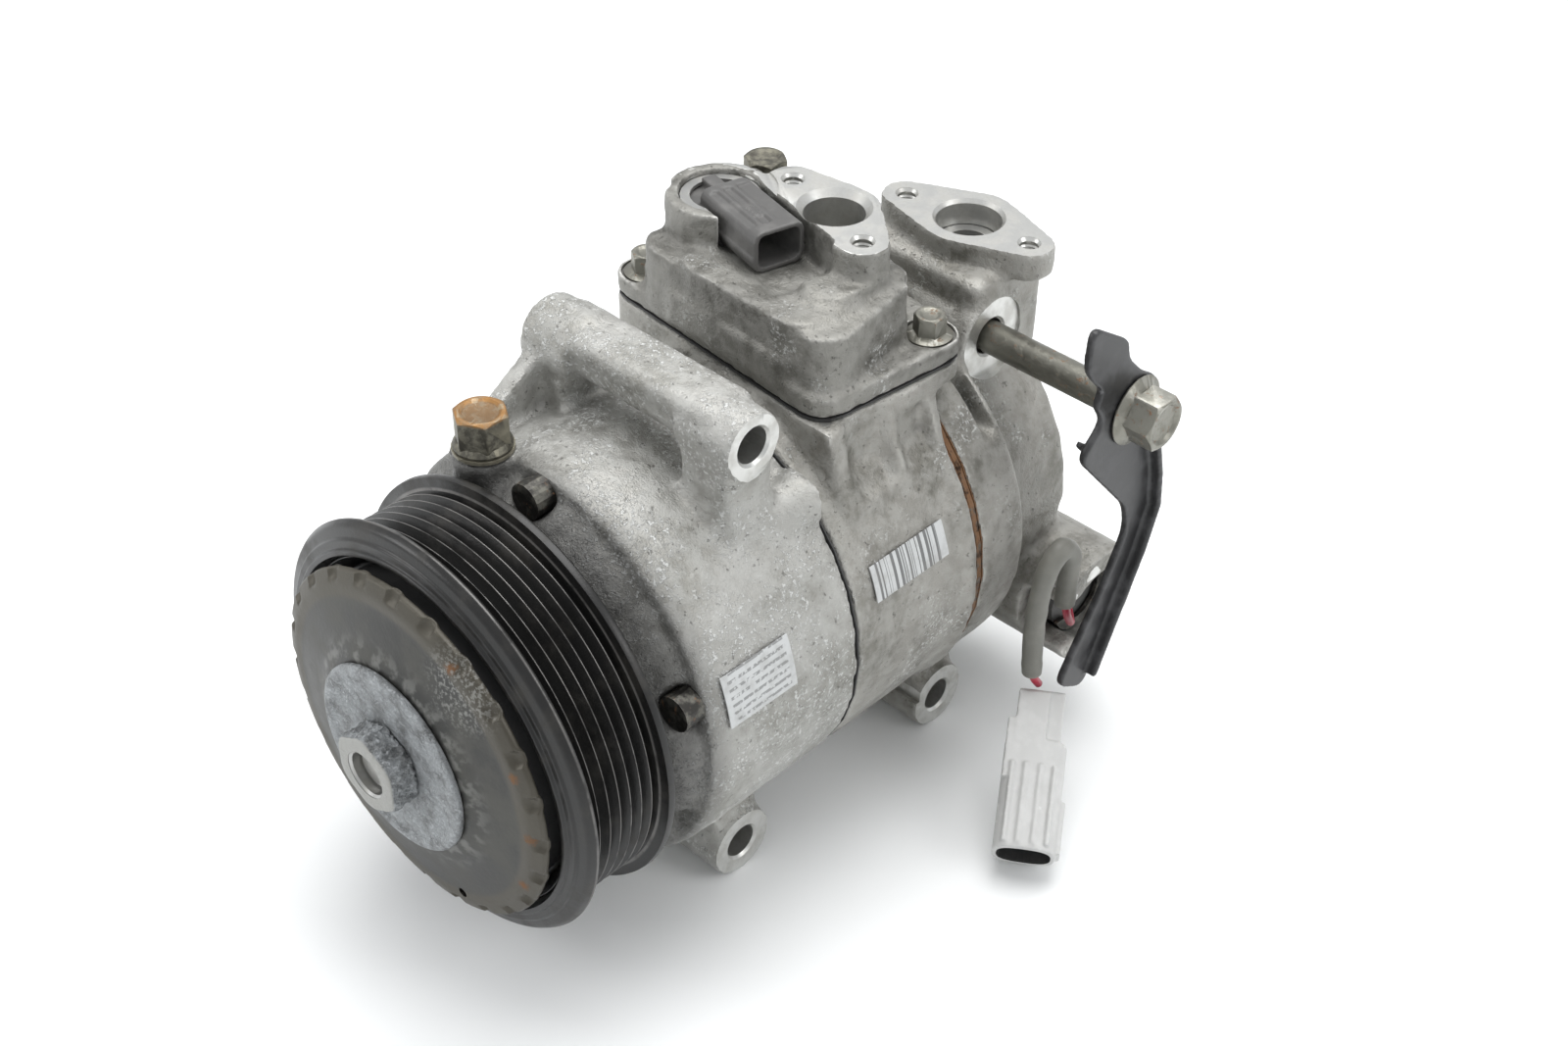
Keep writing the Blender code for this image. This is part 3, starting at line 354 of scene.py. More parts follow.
MILLED = machined("milled_aluminium", rgb(0.62, 0.62, 0.60), 0.28)
STEEL = machined("turned_steel", rgb(0.42, 0.42, 0.41), 0.30)
ZINC = plated("dull_zinc", rgb(0.235, 0.23, 0.20), 0.15)
DARK_STEEL = plated("dark_steel", rgb(0.045, 0.043, 0.040), 0.1, 0.0)
BRASS = stained_plug()
CRUST = crusted("crusted_steel", rgb(0.17, 0.175, 0.175), rgb(0.36, 0.375, 0.385))
RUST = plated("rusty_edge", rgb(0.075, 0.045, 0.028), 1.0, 0.0)
print("metal finishes: seven")


# %% [markdown]
# ## Black and slate paint
#
# The belt polishes the tips of the pulley's ribs, so a thin bright line runs
# round each one. The mask is simply the distance from the shaft. The limiter
# plate is slate grey, scuffed white towards the top and rusty at a few of
# its spot welds.

# %% Painted finishes
def pulley_black():
    paint = Paint("pulley_black")
    out = paint.radius()
    ribs = out.between(57.0, 57.16) * out.between(58.2, 57.6) * paint.axis("Y").between(1.5, 2.8)
    lip = out.between(60.95, 61.15)
    broken = paint.noise(9.0, 4.0).between(0.30, 0.55)
    dust = paint.noise(14.0, 5.0, 0.65).between(0.46, 0.72)
    tone = (dust * 0.35).mix(rgb(0.010, 0.0098, 0.0095), rgb(0.055, 0.049, 0.040))
    bright = (ribs * 0.42 + lip * 0.35) * broken
    tone = bright.mix(tone, rgb(0.40, 0.385, 0.37))
    fine = paint.noise(0.5, 3.0)
    return paint.done(tone, 0.30 + dust * 0.22, 0.15 + bright * 0.7, paint.bump(fine + dust, 0.035))


RUST_SPOTS = [(47.2, angle) for angle in (62.0, 24.0, 1.0, -23.0)]


def plate_slate():
    paint = Paint("plate_slate")
    smear = paint.noise(15.0, 5.0, 0.6).between(0.38, 0.66)
    grit = paint.noise(1.1, 4.0, 0.65)
    tone = smear.mix(rgb(0.027, 0.027, 0.025), rgb(0.062, 0.061, 0.054))
    rim = paint.radius().between(43.5, 45.5)
    tone = (rim * 0.45).mix(tone, rgb(0.085, 0.072, 0.048))
    scuff = paint.near(26.0, -11.0, 37.0).between(15.0, 5.0) * grit.between(0.48, 0.60)
    halo = paint.radius().between(37.0, 28.5) * paint.noise(4.5, 5.0).between(0.46, 0.62)
    tone = (scuff * 0.45 + halo * 0.3).mix(tone, rgb(0.36, 0.36, 0.34))
    rust = 0
    for out, angle in RUST_SPOTS:
        turn = math.radians(angle)
        ragged = paint.near(out * math.cos(turn), -9.0, out * math.sin(turn)) + grit * 3.0
        rust = rust + ragged.between(4.0, 2.4)
    tone = (rust * 0.8).mix(tone, rgb(0.20, 0.085, 0.028))
    return paint.done(tone, 0.40 + smear * 0.14 + rust * 0.3, 0.35, paint.bump(grit + rust, 0.07))


def coated(name, colour, worn, gloss):
    """Dipped black or moulded plastic: even, with pale rubbed corners."""
    paint = Paint(name)
    dust = paint.noise(7.0, 5.0, 0.6).between(0.44, 0.70)
    skin = paint.noise(0.45, 2.0)
    tone = (dust * 0.35).mix(colour, worn)
    tone = (paint.edges(0.52, 0.60) * 0.6).mix(tone, worn)
    return paint.done(tone, gloss + dust * 0.12, 0.0, paint.bump(skin + dust * 0.4, 0.03))


def sticker(name, low, high, bars):
    """Grey paper with meaningless marks: upright bars, or faint broken rows."""
    paint = Paint(name)
    along, up = paint.axis("Y"), paint.axis("Z")
    inside = along.between(low + 1.6, low + 2.0) * along.between(high - 1.6, high - 2.0)
    dirt = paint.noise(5.0, 5.0, 0.6).between(0.42, 0.68)
    if bars:
        inputs = {"W": along, "Scale": 0.8, "Detail": 1.0}
        ink = paint.node("ShaderNodeTexNoise", {"noise_dimensions": "1D"}, inputs)
        ink = ink.between(0.50, 0.53) * 0.85
    else:
        ink = (up * 2.9).apply("SINE").between(0.15, 0.5) * paint.noise(1.3, 2.0).between(0.42, 0.50)
        ink = ink * 0.6
    tone = (ink * inside).mix(rgb(0.52, 0.53, 0.53), rgb(0.07, 0.07, 0.07))
    tone = (dirt * 0.35).mix(tone, rgb(0.24, 0.235, 0.22))
    return paint.done(tone, 0.5 + dirt * 0.15, 0.0, paint.bump(dirt, 0.02))


PULLEY_BLACK, PLATE_SLATE = pulley_black(), plate_slate()
BRACKET_BLACK = coated("dipped_black", rgb(0.018, 0.018, 0.019), rgb(0.12, 0.12, 0.125), 0.36)
SENSOR_PLASTIC = coated("sensor_plastic", rgb(0.085, 0.083, 0.080), rgb(0.20, 0.195, 0.185), 0.42)
DARK_PLASTIC = coated("dark_plastic", rgb(0.03, 0.03, 0.03), rgb(0.09, 0.09, 0.085), 0.5)
PALE_PLASTIC = coated("pale_moulding", rgb(0.50, 0.50, 0.49), rgb(0.66, 0.66, 0.65), 0.40)
SEAL_RUBBER = coated("seal_rubber", rgb(0.016, 0.016, 0.016), rgb(0.05, 0.05, 0.05), 0.62)
SLEEVE = coated("sleeve_rubber", rgb(0.145, 0.143, 0.125), rgb(0.23, 0.225, 0.20), 0.46)
RED_WIRE = coated("red_wire", rgb(0.42, 0.02, 0.05), rgb(0.50, 0.12, 0.13), 0.38)
BAR_PAPER, ROW_PAPER = sticker("bar_sticker", 103.5, 133.0, True), sticker("row_sticker", 46.0, 70.5, False)
print("painted, moulded and paper finishes are ready")

# %% [markdown]
# ## Shapes as formers
#
# The tools below make plain solids anywhere on the drawing. They are formers:
# they are joined to a piece or cut out of it, and then thrown away. Meshes are
# built straight in scene coordinates, so every finish meets every piece at
# the same scale.

# %% Plain formers
AIM = {"X": Matrix.Rotation(math.pi / 2, 4, "Y"), "Y": Matrix.Rotation(-math.pi / 2, 4, "X"),
       "Z": Matrix.Identity(4)}


def as_piece(name, cage):
    """A closed mesh as an object, with its faces looking outwards."""
    bmesh.ops.recalc_face_normals(cage, faces=cage.faces)
    if cage.calc_volume(signed=True) < 0:
        bmesh.ops.reverse_faces(cage, faces=cage.faces)
    mesh = bpy.data.meshes.new(name)
    cage.to_mesh(mesh)
    cage.free()
    piece = bpy.data.objects.new(name, mesh)
    bpy.context.scene.collection.objects.link(piece)
    return piece


def rod(axis, start, length, radius, end_radius=None, sides=48):
    cage = bmesh.new()
    end_radius = radius if end_radius is None else end_radius
    bmesh.ops.create_cone(cage, cap_ends=True, segments=sides, radius1=radius * MM, radius2=end_radius * MM,
                          depth=length * MM)
    move = Matrix.Translation(place(*start)) @ AIM[axis] @ Matrix.Translation((0, 0, length * MM / 2))
    cage.transform(move)
    return as_piece("former", cage)


def block(low, high, bevel=0.0):
    cage = bmesh.new()
    bmesh.ops.create_cube(cage, size=1.0)
    size = Vector(high) - Vector(low)
    cage.transform(Matrix.Translation(place(*low) + size * MM / 2) @ Matrix.Diagonal((*(size * MM), 1)))
    if bevel:
        bmesh.ops.bevel(cage, geom=cage.edges[:], offset=bevel * MM, segments=3, profile=0.5, affect="EDGES")
    return as_piece("former", cage)


def prism(outline, thickness, move):
    """A flat outline in its own XY plane, raised by a thickness, then moved."""
    cage = bmesh.new()
    face = cage.faces.new([cage.verts.new((x * MM, y * MM, 0)) for x, y in outline])
    raised = bmesh.ops.extrude_face_region(cage, geom=[face])["geom"]
    top = [v for v in raised if isinstance(v, bmesh.types.BMVert)]
    bmesh.ops.translate(cage, vec=(0, 0, thickness * MM), verts=top)
    cage.transform(move)
    return as_piece("former", cage)


def turned(name, outline, steps=128, at=(0, 0, 0), axis="Y"):
    """A closed outline of (radius, station) turned about an axis through a point."""
    cage = bmesh.new()
    points = [cage.verts.new((r * MM, 0, s * MM)) for r, s in outline]
    rim = [cage.edges.new(pair) for pair in zip(points, points[1:])]
    if min(r for r, s in outline) > 0:
        rim.append(cage.edges.new((points[-1], points[0])))
    bmesh.ops.spin(cage, geom=points + rim, axis=(0, 0, 1), cent=(0, 0, 0), angle=2 * math.pi, steps=steps,
                   use_merge=True)
    bmesh.ops.remove_doubles(cage, verts=cage.verts, dist=0.000002)
    cage.transform(Matrix.Translation(place(*at)) @ AIM[axis])
    return as_piece(name, cage)


def rounded(outline, radius, arc=4):
    """The same outline with each corner turned into a little arc."""
    soft = []
    for i, corner in enumerate(outline):
        before, here, after = (Vector(p) for p in (outline[i - 1], corner, outline[(i + 1) % len(outline)]))
        if here.x == 0:
            soft.append(tuple(here))
            continue
        reach = min(radius, 0.4 * (before - here).length, 0.4 * (after - here).length)
        start = here + (before - here).normalized() * reach
        end = here + (after - here).normalized() * reach
        for k in range(arc + 1):
            t = k / arc
            soft.append(tuple(start * (1 - t) ** 2 + here * 2 * t * (1 - t) + end * t * t))
    return soft


def belt(circles, samples=36):
    """The tight belt round some circles (x, y, radius)."""
    spots = sorted({(round(x + r * math.cos(2 * math.pi * i / samples), 4),
                     round(y + r * math.sin(2 * math.pi * i / samples), 4))
                    for x, y, r in circles for i in range(samples)})

    def half(sequence):
        chain = []
        for p in sequence:
            while len(chain) > 1 and ((chain[-1][0] - chain[-2][0]) * (p[1] - chain[-2][1])
                                      <= (chain[-1][1] - chain[-2][1]) * (p[0] - chain[-2][0])):
                chain.pop()
            chain.append(p)
        return chain[:-1]

    return half(spots) + half(spots[::-1])


def flat(outline, low_z, high_z):
    """An outline of the top view, from one height to another."""
    return prism(outline, high_z - low_z, Matrix.Translation(place(0, 0, low_z)))


def web(circles, back_y, width):
    """A wall whose outline is the belt round circles of the front view, and which ends at back_y."""
    upright = Matrix.Rotation(math.pi / 2, 4, "X")
    return prism(belt(circles), width, Matrix.Translation(place(0, back_y, 0)) @ upright)


def block_along(move, low, high):
    """A block in the axes of a plug that points its own way."""
    size = [h - l for l, h in zip(low, high)]
    middle = Vector([(l + h) / 2 for l, h in zip(low, high)]) * MM
    cage = bmesh.new()
    bmesh.ops.create_cube(cage, size=1.0)
    cage.transform(move @ Matrix.Translation(middle) @ Matrix.Diagonal((*(s * MM for s in size), 1)))
    return as_piece("former", cage)


print("formers: rod, block, prism, turned, flat, web, block_along")


# %% [markdown]
# ## From engineering solid to casting
#
# A casting has no sharp corner except where a cutter has been. So the solid
# from the frame is rebuilt as an even skin of small squares (a voxel remesh),
# its skin is relaxed a few times, which rounds every corner by a millimetre
# or two, and only then are faces and holes machined again. Corners where a
# leg flows into the body are relaxed many more times, inside a soft ball.

# %% Casting tools
def settle(piece):
    """Turn a piece's modifiers into its mesh."""
    bpy.context.view_layer.update()
    graph = bpy.context.evaluated_depsgraph_get()
    fresh = bpy.data.meshes.new_from_object(piece.evaluated_get(graph))
    stale = piece.data
    piece.modifiers.clear()
    piece.data = fresh
    fresh.name = piece.name
    bpy.data.meshes.remove(stale)
    return piece


def carve(piece, operation, formers, finish=None):
    """Join formers to a piece or cut them out; cut faces take the finish."""
    for former in formers:
        if finish is not None:
            former.data.materials.append(finish)
        step = piece.modifiers.new("carve", "BOOLEAN")
        step.operation, step.solver, step.object = operation, "MANIFOLD", former
        step.material_mode = "TRANSFER"
    settle(piece)
    for former in formers:
        bpy.data.objects.remove(former, do_unlink=True)
    return piece


def copy_of(node_name, name):
    piece = bpy.data.objects.new(name, frame["nodes"][node_name].data.copy())
    bpy.context.scene.collection.objects.link(piece)
    piece.data.materials.clear()
    cage = bmesh.new()
    cage.from_mesh(piece.data)
    bmesh.ops.remove_doubles(cage, verts=cage.verts, dist=0.000002)
    cage.to_mesh(piece.data)
    cage.free()
    return piece


def remesh(piece, voxel):
    step = piece.modifiers.new("skin", "REMESH")
    step.mode, step.voxel_size = "VOXEL", voxel * MM
    return settle(piece)


def relax(piece, rounds, balls=()):
    """Move each point towards its neighbours; with balls (point, radius), only inside them."""
    mesh = piece.data
    count = len(mesh.vertices)
    spots = np.empty(count * 3)
    mesh.vertices.foreach_get("co", spots)
    spots = spots.reshape(-1, 3)
    ends = np.empty(len(mesh.edges) * 2, np.int64)
    mesh.edges.foreach_get("vertices", ends)
    first, second = ends.reshape(-1, 2).T
    degree = np.bincount(ends, minlength=count)
    share = np.ones(count)
    if balls:
        share[:] = 0
        for centre, reach in balls:
            away = np.linalg.norm(spots - np.array(place(*centre)), axis=1) / (reach * MM)
            share = np.maximum(share, np.clip(1.6 - 1.6 * away, 0, 1))
    for _ in range(rounds):
        for k in range(3):
            total = np.bincount(first, spots[second, k], count) + np.bincount(second, spots[first, k], count)
            spots[:, k] += 0.5 * share * (total / degree - spots[:, k])
    mesh.vertices.foreach_set("co", spots.ravel())
    mesh.update()
    return piece


def roughen(piece, depth, size):
    """Uneven skin: slow lumps of a given size, a fraction of a millimetre high."""
    mesh = piece.data
    outward = [normal.vector.copy() for normal in mesh.vertex_normals]
    for vertex, normal in zip(mesh.vertices, outward):
        spot = vertex.co / (size * MM)
        vertex.co += normal * (noise.noise(spot) + 0.5 * noise.noise(spot * 2.3)) * depth * MM
    mesh.update()
    return piece


def dress(piece, finish, body="casing", sharp=35.0):
    """Finish, shading and body for a piece whose mesh is final."""
    mesh = piece.data
    if mesh.materials:
        mesh.materials[0] = finish
    else:
        mesh.materials.append(finish)
    mesh.shade_smooth()
    mesh.set_sharp_from_angle(angle=math.radians(sharp))
    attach(piece, body)
    print(f"{piece.name}: {len(mesh.polygons)} faces")
    return piece


def stand_for(piece, *nodes):
    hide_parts(*nodes)
    return piece


# %% [markdown]
# ## Threads
#
# A tapped hole is a plain hole with fine rings in its wall. At this size rings
# and a true helix look the same, and rings are one turned outline.

# %% Tap
def tap(centre_x, centre_y, top, depth, radius=2.7, pitch=1.0, crest=0.42):
    outline = [(0, top - depth), (radius, top - depth)]
    turns = int((depth - 1.2) / pitch)
    for i in range(turns):
        low = top - depth + 0.2 + i * pitch
        outline += [(radius, low), (radius + crest, low + pitch / 2)]
    outline += [(radius, top - 1.0), (radius + 0.7, top - 0.1), (radius + 0.7, top + 3), (0, top + 3)]
    return turned("tap", outline, 40, (centre_x, centre_y, 0), "Z")


print("a tap's cut is", len(tap(0, 0, 0, 8).data.polygons), "faces")
bpy.data.objects.remove(bpy.data.objects["tap"], do_unlink=True)

# %% [markdown]
# ## Front housing
#
# The largest casting: a cone that opens into a drum, a bar with two ears over
# it, a lower ear boss, and the boss of the filling plug. The ear legs flow
# broadly into the drum, so their feet are relaxed in soft balls. The blank is
# a little proud at the ears, and the milling cutter brings each ring face
# back to the drawing's size.

# %% Front housing
EAR_HOLE_R, LOW_EAR_R, EAR_FACE_X, TOP_EAR_FACE_X = 5.1, 10.7, 42.4, 41.7
TOP_EAR, LOW_FRONT_EAR, LOW_REAR_EAR, REAR_EAR = (74.6, 74.0), (70.0, -65.2), (157.0, -65.2), (179.6, 53.9)
CASTING_VOXEL = 1.2


def ear_stock(centre, radius, face_x):
    """Proud metal on one ear end."""
    start = face_x - 3.0 if face_x > 0 else face_x - 0.8
    return rod("X", (start, *centre), 3.8, radius)


def low_ear_stock(centre):
    return [ear_stock(centre, LOW_EAR_R, EAR_FACE_X), ear_stock(centre, LOW_EAR_R, -EAR_FACE_X)]


def low_ear_faces(centre):
    """The two cutters that mill a lower ear's ring faces."""
    return [rod("X", (EAR_FACE_X, *centre), 16.0, 12.5), rod("X", (-EAR_FACE_X - 16.0, *centre), 16.0, 12.5)]


def ear_cuts(centre, low_x, high_x):
    """The milled hole right through, with a small chamfer at each end."""
    return [rod("X", (low_x - 6, *centre), high_x - low_x + 12, EAR_HOLE_R + 0.12),
            rod("X", (high_x - 0.9, *centre), 1.2, EAR_HOLE_R, EAR_HOLE_R + 1.2),
            rod("X", (low_x - 0.3, *centre), 1.2, EAR_HOLE_R + 1.2, EAR_HOLE_R)]


def front_housing():
    piece = copy_of("front_housing", "front_casting")
    fills = [rod("X", (-35.5, *TOP_EAR), 76.0, 7.0), rod("X", (-42.0, *LOW_FRONT_EAR), 84.0, 7.5)]
    stock = [ear_stock(TOP_EAR, 9.4, TOP_EAR_FACE_X), *low_ear_stock(LOW_FRONT_EAR)]
    leg_web = web([(26.0, 50.0, 3.0), (40.0, 40.0, 3.0), (37.5, 70.0, 3.0), (27.0, 72.0, 2.0)], 82.0, 15.0)
    far_web = web([(-44.0, 42.0, 3.0), (-18.0, 50.0, 3.0), (-24.0, 68.0, 2.5), (-31.0, 68.0, 2.5)], 82.5,
                  15.0)
    lug_web = rod("Y", (39.5, 72.0, 46.0), 22.4, 3.0, 9.0)
    step = turned("former", [(58.0, 40.2), (61.2, 40.2), (61.9, 41.5), (61.9, 56.0), (58.0, 56.0)], 96)
    carve(piece, "UNION", [*fills, *stock, leg_web, far_web, lug_web, step])
    remesh(piece, CASTING_VOXEL)
    relax(piece, 3)
    relax(piece, 40, [((36.0, 74.0, 56.0), 15.0), ((-30.0, 74.0, 52.0), 14.0), ((*PLUG, 48.0), 12.0),
                      ((42.0, 80.0, 45.0), 13.0), ((0.0, 62.0, 76.0), 3.0)])
    roughen(piece, 0.16, 5.0)
    faces = [rod("X", (TOP_EAR_FACE_X, *TOP_EAR), 16.0, 10.6), *low_ear_faces(LOW_FRONT_EAR),
             block((-70, 20, -100), (70, 100, -75.8)),
             rod("Z", (*PLUG, 60.5), 8.0, 8.9), block((-100, 94.7, -90), (100, 110, 95))]
    holes = ear_cuts(TOP_EAR, -36.0, TOP_EAR_FACE_X) + ear_cuts(LOW_FRONT_EAR, -EAR_FACE_X, EAR_FACE_X)
    holes += [tap(*PLUG, 60.5, 14.0, 4.7)]
    carve(piece, "DIFFERENCE", faces + holes, MILLED)
    return stand_for(dress(piece, CAST), "front_housing")


front_housing()


# %% [markdown]
# ## Cylinder block
#
# The second casting holds the seven bores. Its top is a saddle for the
# discharge block, carried by a skirt with three upright ribs, and a raised
# band runs round its rear edge, where the head is bolted on.

# %% Cylinder block
SADDLE_Z, BLOCK_BOLTS = 62.9, ((-43.0, 118.0), (35.0, 150.0), (-35.0, 158.0))
BLOCK_LOW, BLOCK_HIGH = 95.7, 144.6
PISTON_PITCH_R, BORE_R, PISTON_COUNT = 36.0, 14.0, 7
PISTON_TURNS = [math.radians(90 - 360 * (i + 0.5) / PISTON_COUNT) for i in range(PISTON_COUNT)]


def cylinder_block():
    piece = copy_of("cylinder_block", "block_casting")
    skirt = [web([(30.0, 40.0, 4.0), (49.0, 33.0, 2.0), (40.0, 60.5, 2.4), (30.0, 60.5, 2.4)], back, width)
             for back, width in ((109.5, 7.0), (128.5, 3.6), (144.4, 3.8))]
    band_end = BLOCK_HIGH - 0.1
    band = turned("former", [(58.0, 139.8), (63.6, 140.6), (63.6, band_end), (58.0, band_end)], 96)
    keep = block((8.0, 130.0, -64.0), (80.0, 150.0, 80.0))
    carve(band, "INTERSECT", [keep])
    tie = rod("Y", (47.0, 104.0, 38.0), 38.0, 3.4, 2.2)
    carve(piece, "UNION", [*skirt, band, tie])
    remesh(piece, CASTING_VOXEL)
    relax(piece, 3)
    relax(piece, 25, [((42.0, 106.0, 50.0), 11.0), ((42.0, 127.0, 50.0), 8.0), ((-38.0, 120.0, 54.0), 10.0)])
    roughen(piece, 0.18, 5.0)
    bores = [rod("Y", (PISTON_PITCH_R * math.cos(a), BLOCK_LOW - 3, PISTON_PITCH_R * math.sin(a)),
                 BLOCK_HIGH - BLOCK_LOW + 6, BORE_R) for a in PISTON_TURNS]
    faces = [block((-70, 90, SADDLE_Z), (70, 170, 80)), block((-100, 80, -90), (100, BLOCK_LOW, 95)),
             block((-70, BLOCK_HIGH, -90), (70, 160, 55.5))]
    carve(piece, "DIFFERENCE", bores + faces, MILLED)
    return stand_for(dress(piece, REAR_CAST), "cylinder_block")


cylinder_block()


# %% [markdown]
# ## Rear housing
#
# The head carries the suction flange, the rear ear and the control valve's
# boss. Its flange top is a big milled lozenge with a counterbored port. The
# dome stands behind a thin raised lip.

# %% Rear housing
SUCTION_PORT, FLANGE_THREADS, FLANGE_TOP = (13.8, 191.5), ((-7.7, 189.0), (35.1, 192.2)), 80.0
VALVE, VALVE_FACE_X = (193.5, -32.0), 73.0


def rear_housing():
    piece = copy_of("rear_housing", "rear_casting")
    lip = turned("former", [(53.0, 164.6), (62.0, 164.6), (62.2, 165.4), (61.2, 167.4), (53.0, 168.4)], 96)
    flange = flat(belt([(*SUCTION_PORT, 15.0), (*FLANGE_THREADS[0], 7.5), (*FLANGE_THREADS[1], 7.5)]),
                  FLANGE_TOP - 3, FLANGE_TOP + 0.8)
    drum = turned("former", [(40.0, 172.0), (54.9, 172.0), (54.9, 193.5), (40.0, 193.5)], 96)
    neck = block((14.0, 170.0, 38.0), (33.0, 198.0, 66.0), 4.0)
    fills = [rod("X", (-41.8, *LOW_REAR_EAR), 83.6, 7.5), rod("Z", (*SUCTION_PORT, 60.9), 19.0, 9.8),
             *(rod("Z", (*spot, FLANGE_TOP - 7.5), 7.4, 3.4) for spot in FLANGE_THREADS)]
    stock = [*low_ear_stock(LOW_REAR_EAR), rod("X", (30.0, *REAR_EAR), 4.8, 13.6)]
    ribs = [block((20.0, 186.0, -50.0), (64.0, 190.0, -14.0), 1.5)]
    carve(piece, "UNION", [lip, flange, drum, neck, *fills, *stock, *ribs])
    remesh(piece, CASTING_VOXEL)
    relax(piece, 3)
    relax(piece, 30, [((28.0, 176.0, 40.0), 10.0), ((52.0, 193.5, -12.0), 10.0),
                      ((35.0, 180.0, -45.0), 12.0)])
    roughen(piece, 0.18, 5.0)
    faces = [block((-40, 165, FLANGE_TOP), (60, 215, 95)), *low_ear_faces(LOW_REAR_EAR),
             block((-70, 140, -100), (70, 180, -75.8)),
             rod("X", (33.9, *REAR_EAR), 20.0, 12.6), block((-100, 140, -62.6), (100, 148.4, 58.0)),
             block((VALVE_FACE_X, 165, -60), (90, 215, -8))]
    holes = ear_cuts(LOW_REAR_EAR, -EAR_FACE_X, EAR_FACE_X)
    holes += [tap(*spot, FLANGE_TOP, 8.0) for spot in FLANGE_THREADS]
    port_outline = [(0, 60.6), (9.6, 60.6), (9.6, FLANGE_TOP - 1.1), (10.7, FLANGE_TOP + 0.1), (10.7, 90.0),
                    (0, 90.0)]
    port = turned("former", rounded(port_outline, 0.2), 64, (*SUCTION_PORT, 0), "Z")
    holes += [port, rod("X", (-30.0, *REAR_EAR), 80.0, 5.6), rod("X", (57.0, *VALVE), 30.0, 12.5),
              rod("X", (33.2, *REAR_EAR), 1.2, 5.6, 7.0)]
    carve(piece, "DIFFERENCE", faces + holes, MILLED)
    return stand_for(dress(piece, REAR_CAST), "rear_housing")


rear_housing()


# %% [markdown]
# ## Discharge block
#
# A die casting: smoother and darker than its neighbours, with worn bright
# corners. The body stands on a thick foot and steps in twice. The sensor sits
# in a round tower, and the discharge port opens in a milled pad.

# %% Discharge block
PAD_TOP, DISCHARGE_PORT, PAD_THREADS = 99.3, (4.9, 143.3), ((-13.6, 146.5), (22.3, 135.3))
SENSOR, SENSOR_TURN, SENSOR_Z = (-24.6, 129.3), -14.0, 94.0
BLOCK_BASE_Z = SADDLE_Z + 1.2


def sensor_move():
    """From the plug tube's own axes (tube along Z, up along -X) to the scene."""
    turn = Matrix.Rotation(math.radians(SENSOR_TURN), 4, "Z") @ Matrix.Rotation(math.pi / 2, 4, "Y")
    return Matrix.Translation(place(SENSOR[0], SENSOR[1] + 1.5, SENSOR_Z)) @ turn


def discharge_block():
    piece = copy_of("discharge_block", "port_block")
    shoulder = flat(belt([(-36.0, 117.0, 5.0), (-20.0, 110.5, 5.0), (20.0, 108.5, 5.5), (33.0, 116.0, 4.0),
                          (29.0, 140.0, 5.0), (-26.0, 152.0, 6.0)]), BLOCK_BASE_Z + 3, BLOCK_BASE_Z + 13.0)
    nose = flat(belt([(-12.0, 113.0, 7.5), (22.0, 112.0, 7.5), (24.0, 124.0, 7.0), (-14.0, 126.0, 7.0)]),
                BLOCK_BASE_Z + 5, 88.6)
    wing = flat(belt([(-36.0, 122.0, 4.0), (-30.0, 112.5, 4.0), (-24.0, 116.0, 4.0)]), BLOCK_BASE_Z + 3, 82.0)
    saddle = flat(belt([(22.3, 135.3, 7.6), (21.0, 124.0, 8.0), (8.0, 134.0, 8.0)]), 80.0, 91.0)
    pad = flat(belt([(*DISCHARGE_PORT, 13.0), (*PAD_THREADS[0], 7.5), (*PAD_THREADS[1], 7.5)]),
               PAD_TOP - 3, PAD_TOP + 0.6)
    fills = [rod("Z", (*DISCHARGE_PORT, 72.4), 26.8, 8.9),
             *(rod("Z", (*spot, 87.0), 12.2, 3.4) for spot in PAD_THREADS)]
    carve(piece, "UNION", [shoulder, nose, wing, saddle, pad, *fills])
    window = prism([(-20, -9.6), (6.6, -9.6), (6.6, 9.6), (-20, 9.6)], 41.0, sensor_move())
    carve(piece, "DIFFERENCE", [window])
    remesh(piece, 0.85)
    relax(piece, 5)
    relax(piece, 25, [((2.0, 117.0, 89.0), 9.0), ((24.0, 117.0, 88.0), 10.0), ((-6.0, 108.0, 78.0), 8.0),
                      ((30.0, 120.0, 76.0), 8.0)])
    roughen(piece, 0.2, 4.0)
    seats = [rod("Z", (*spot, SADDLE_Z + 5.7), 30.0, 7.4) for spot in BLOCK_BOLTS]
    port_outline = [(0, 72.0), (8.6, 72.0), (8.6, PAD_TOP - 2.0), (10.6, PAD_TOP + 0.1), (10.6, 120.0),
                    (0, 120.0)]
    port = turned("former", port_outline, 64, (*DISCHARGE_PORT, 0), "Z")
    well = rod("Z", (*SENSOR, 82.0), 30.0, 11.6)
    tower_top = rod("Z", (*SENSOR, 98.6), 10.0, 15.9)
    base = block((-70, 90, 50), (70, 175, BLOCK_BASE_Z))
    pad_circles = [(*DISCHARGE_PORT, 14.5), (*PAD_THREADS[0], 9.0), (*PAD_THREADS[1], 9.0)]
    pad_top = flat(belt(pad_circles), PAD_TOP, 120)
    carve(piece, "DIFFERENCE", seats)
    cuts = [port, well, tower_top, base, pad_top, *(tap(*spot, PAD_TOP, 13.0) for spot in PAD_THREADS)]
    carve(piece, "DIFFERENCE", cuts, MILLED)
    return stand_for(dress(piece, DARK_CAST), "discharge_block")


discharge_block()


# %% [markdown]
# ## Belt pulley
#
# A turned steel pulley. Seven V-grooves of the 3.56 mm section leave six thin
# ribs between them, each with a narrow land that the belt has polished. The
# front lip is broad and round, with two fine steps inside it.

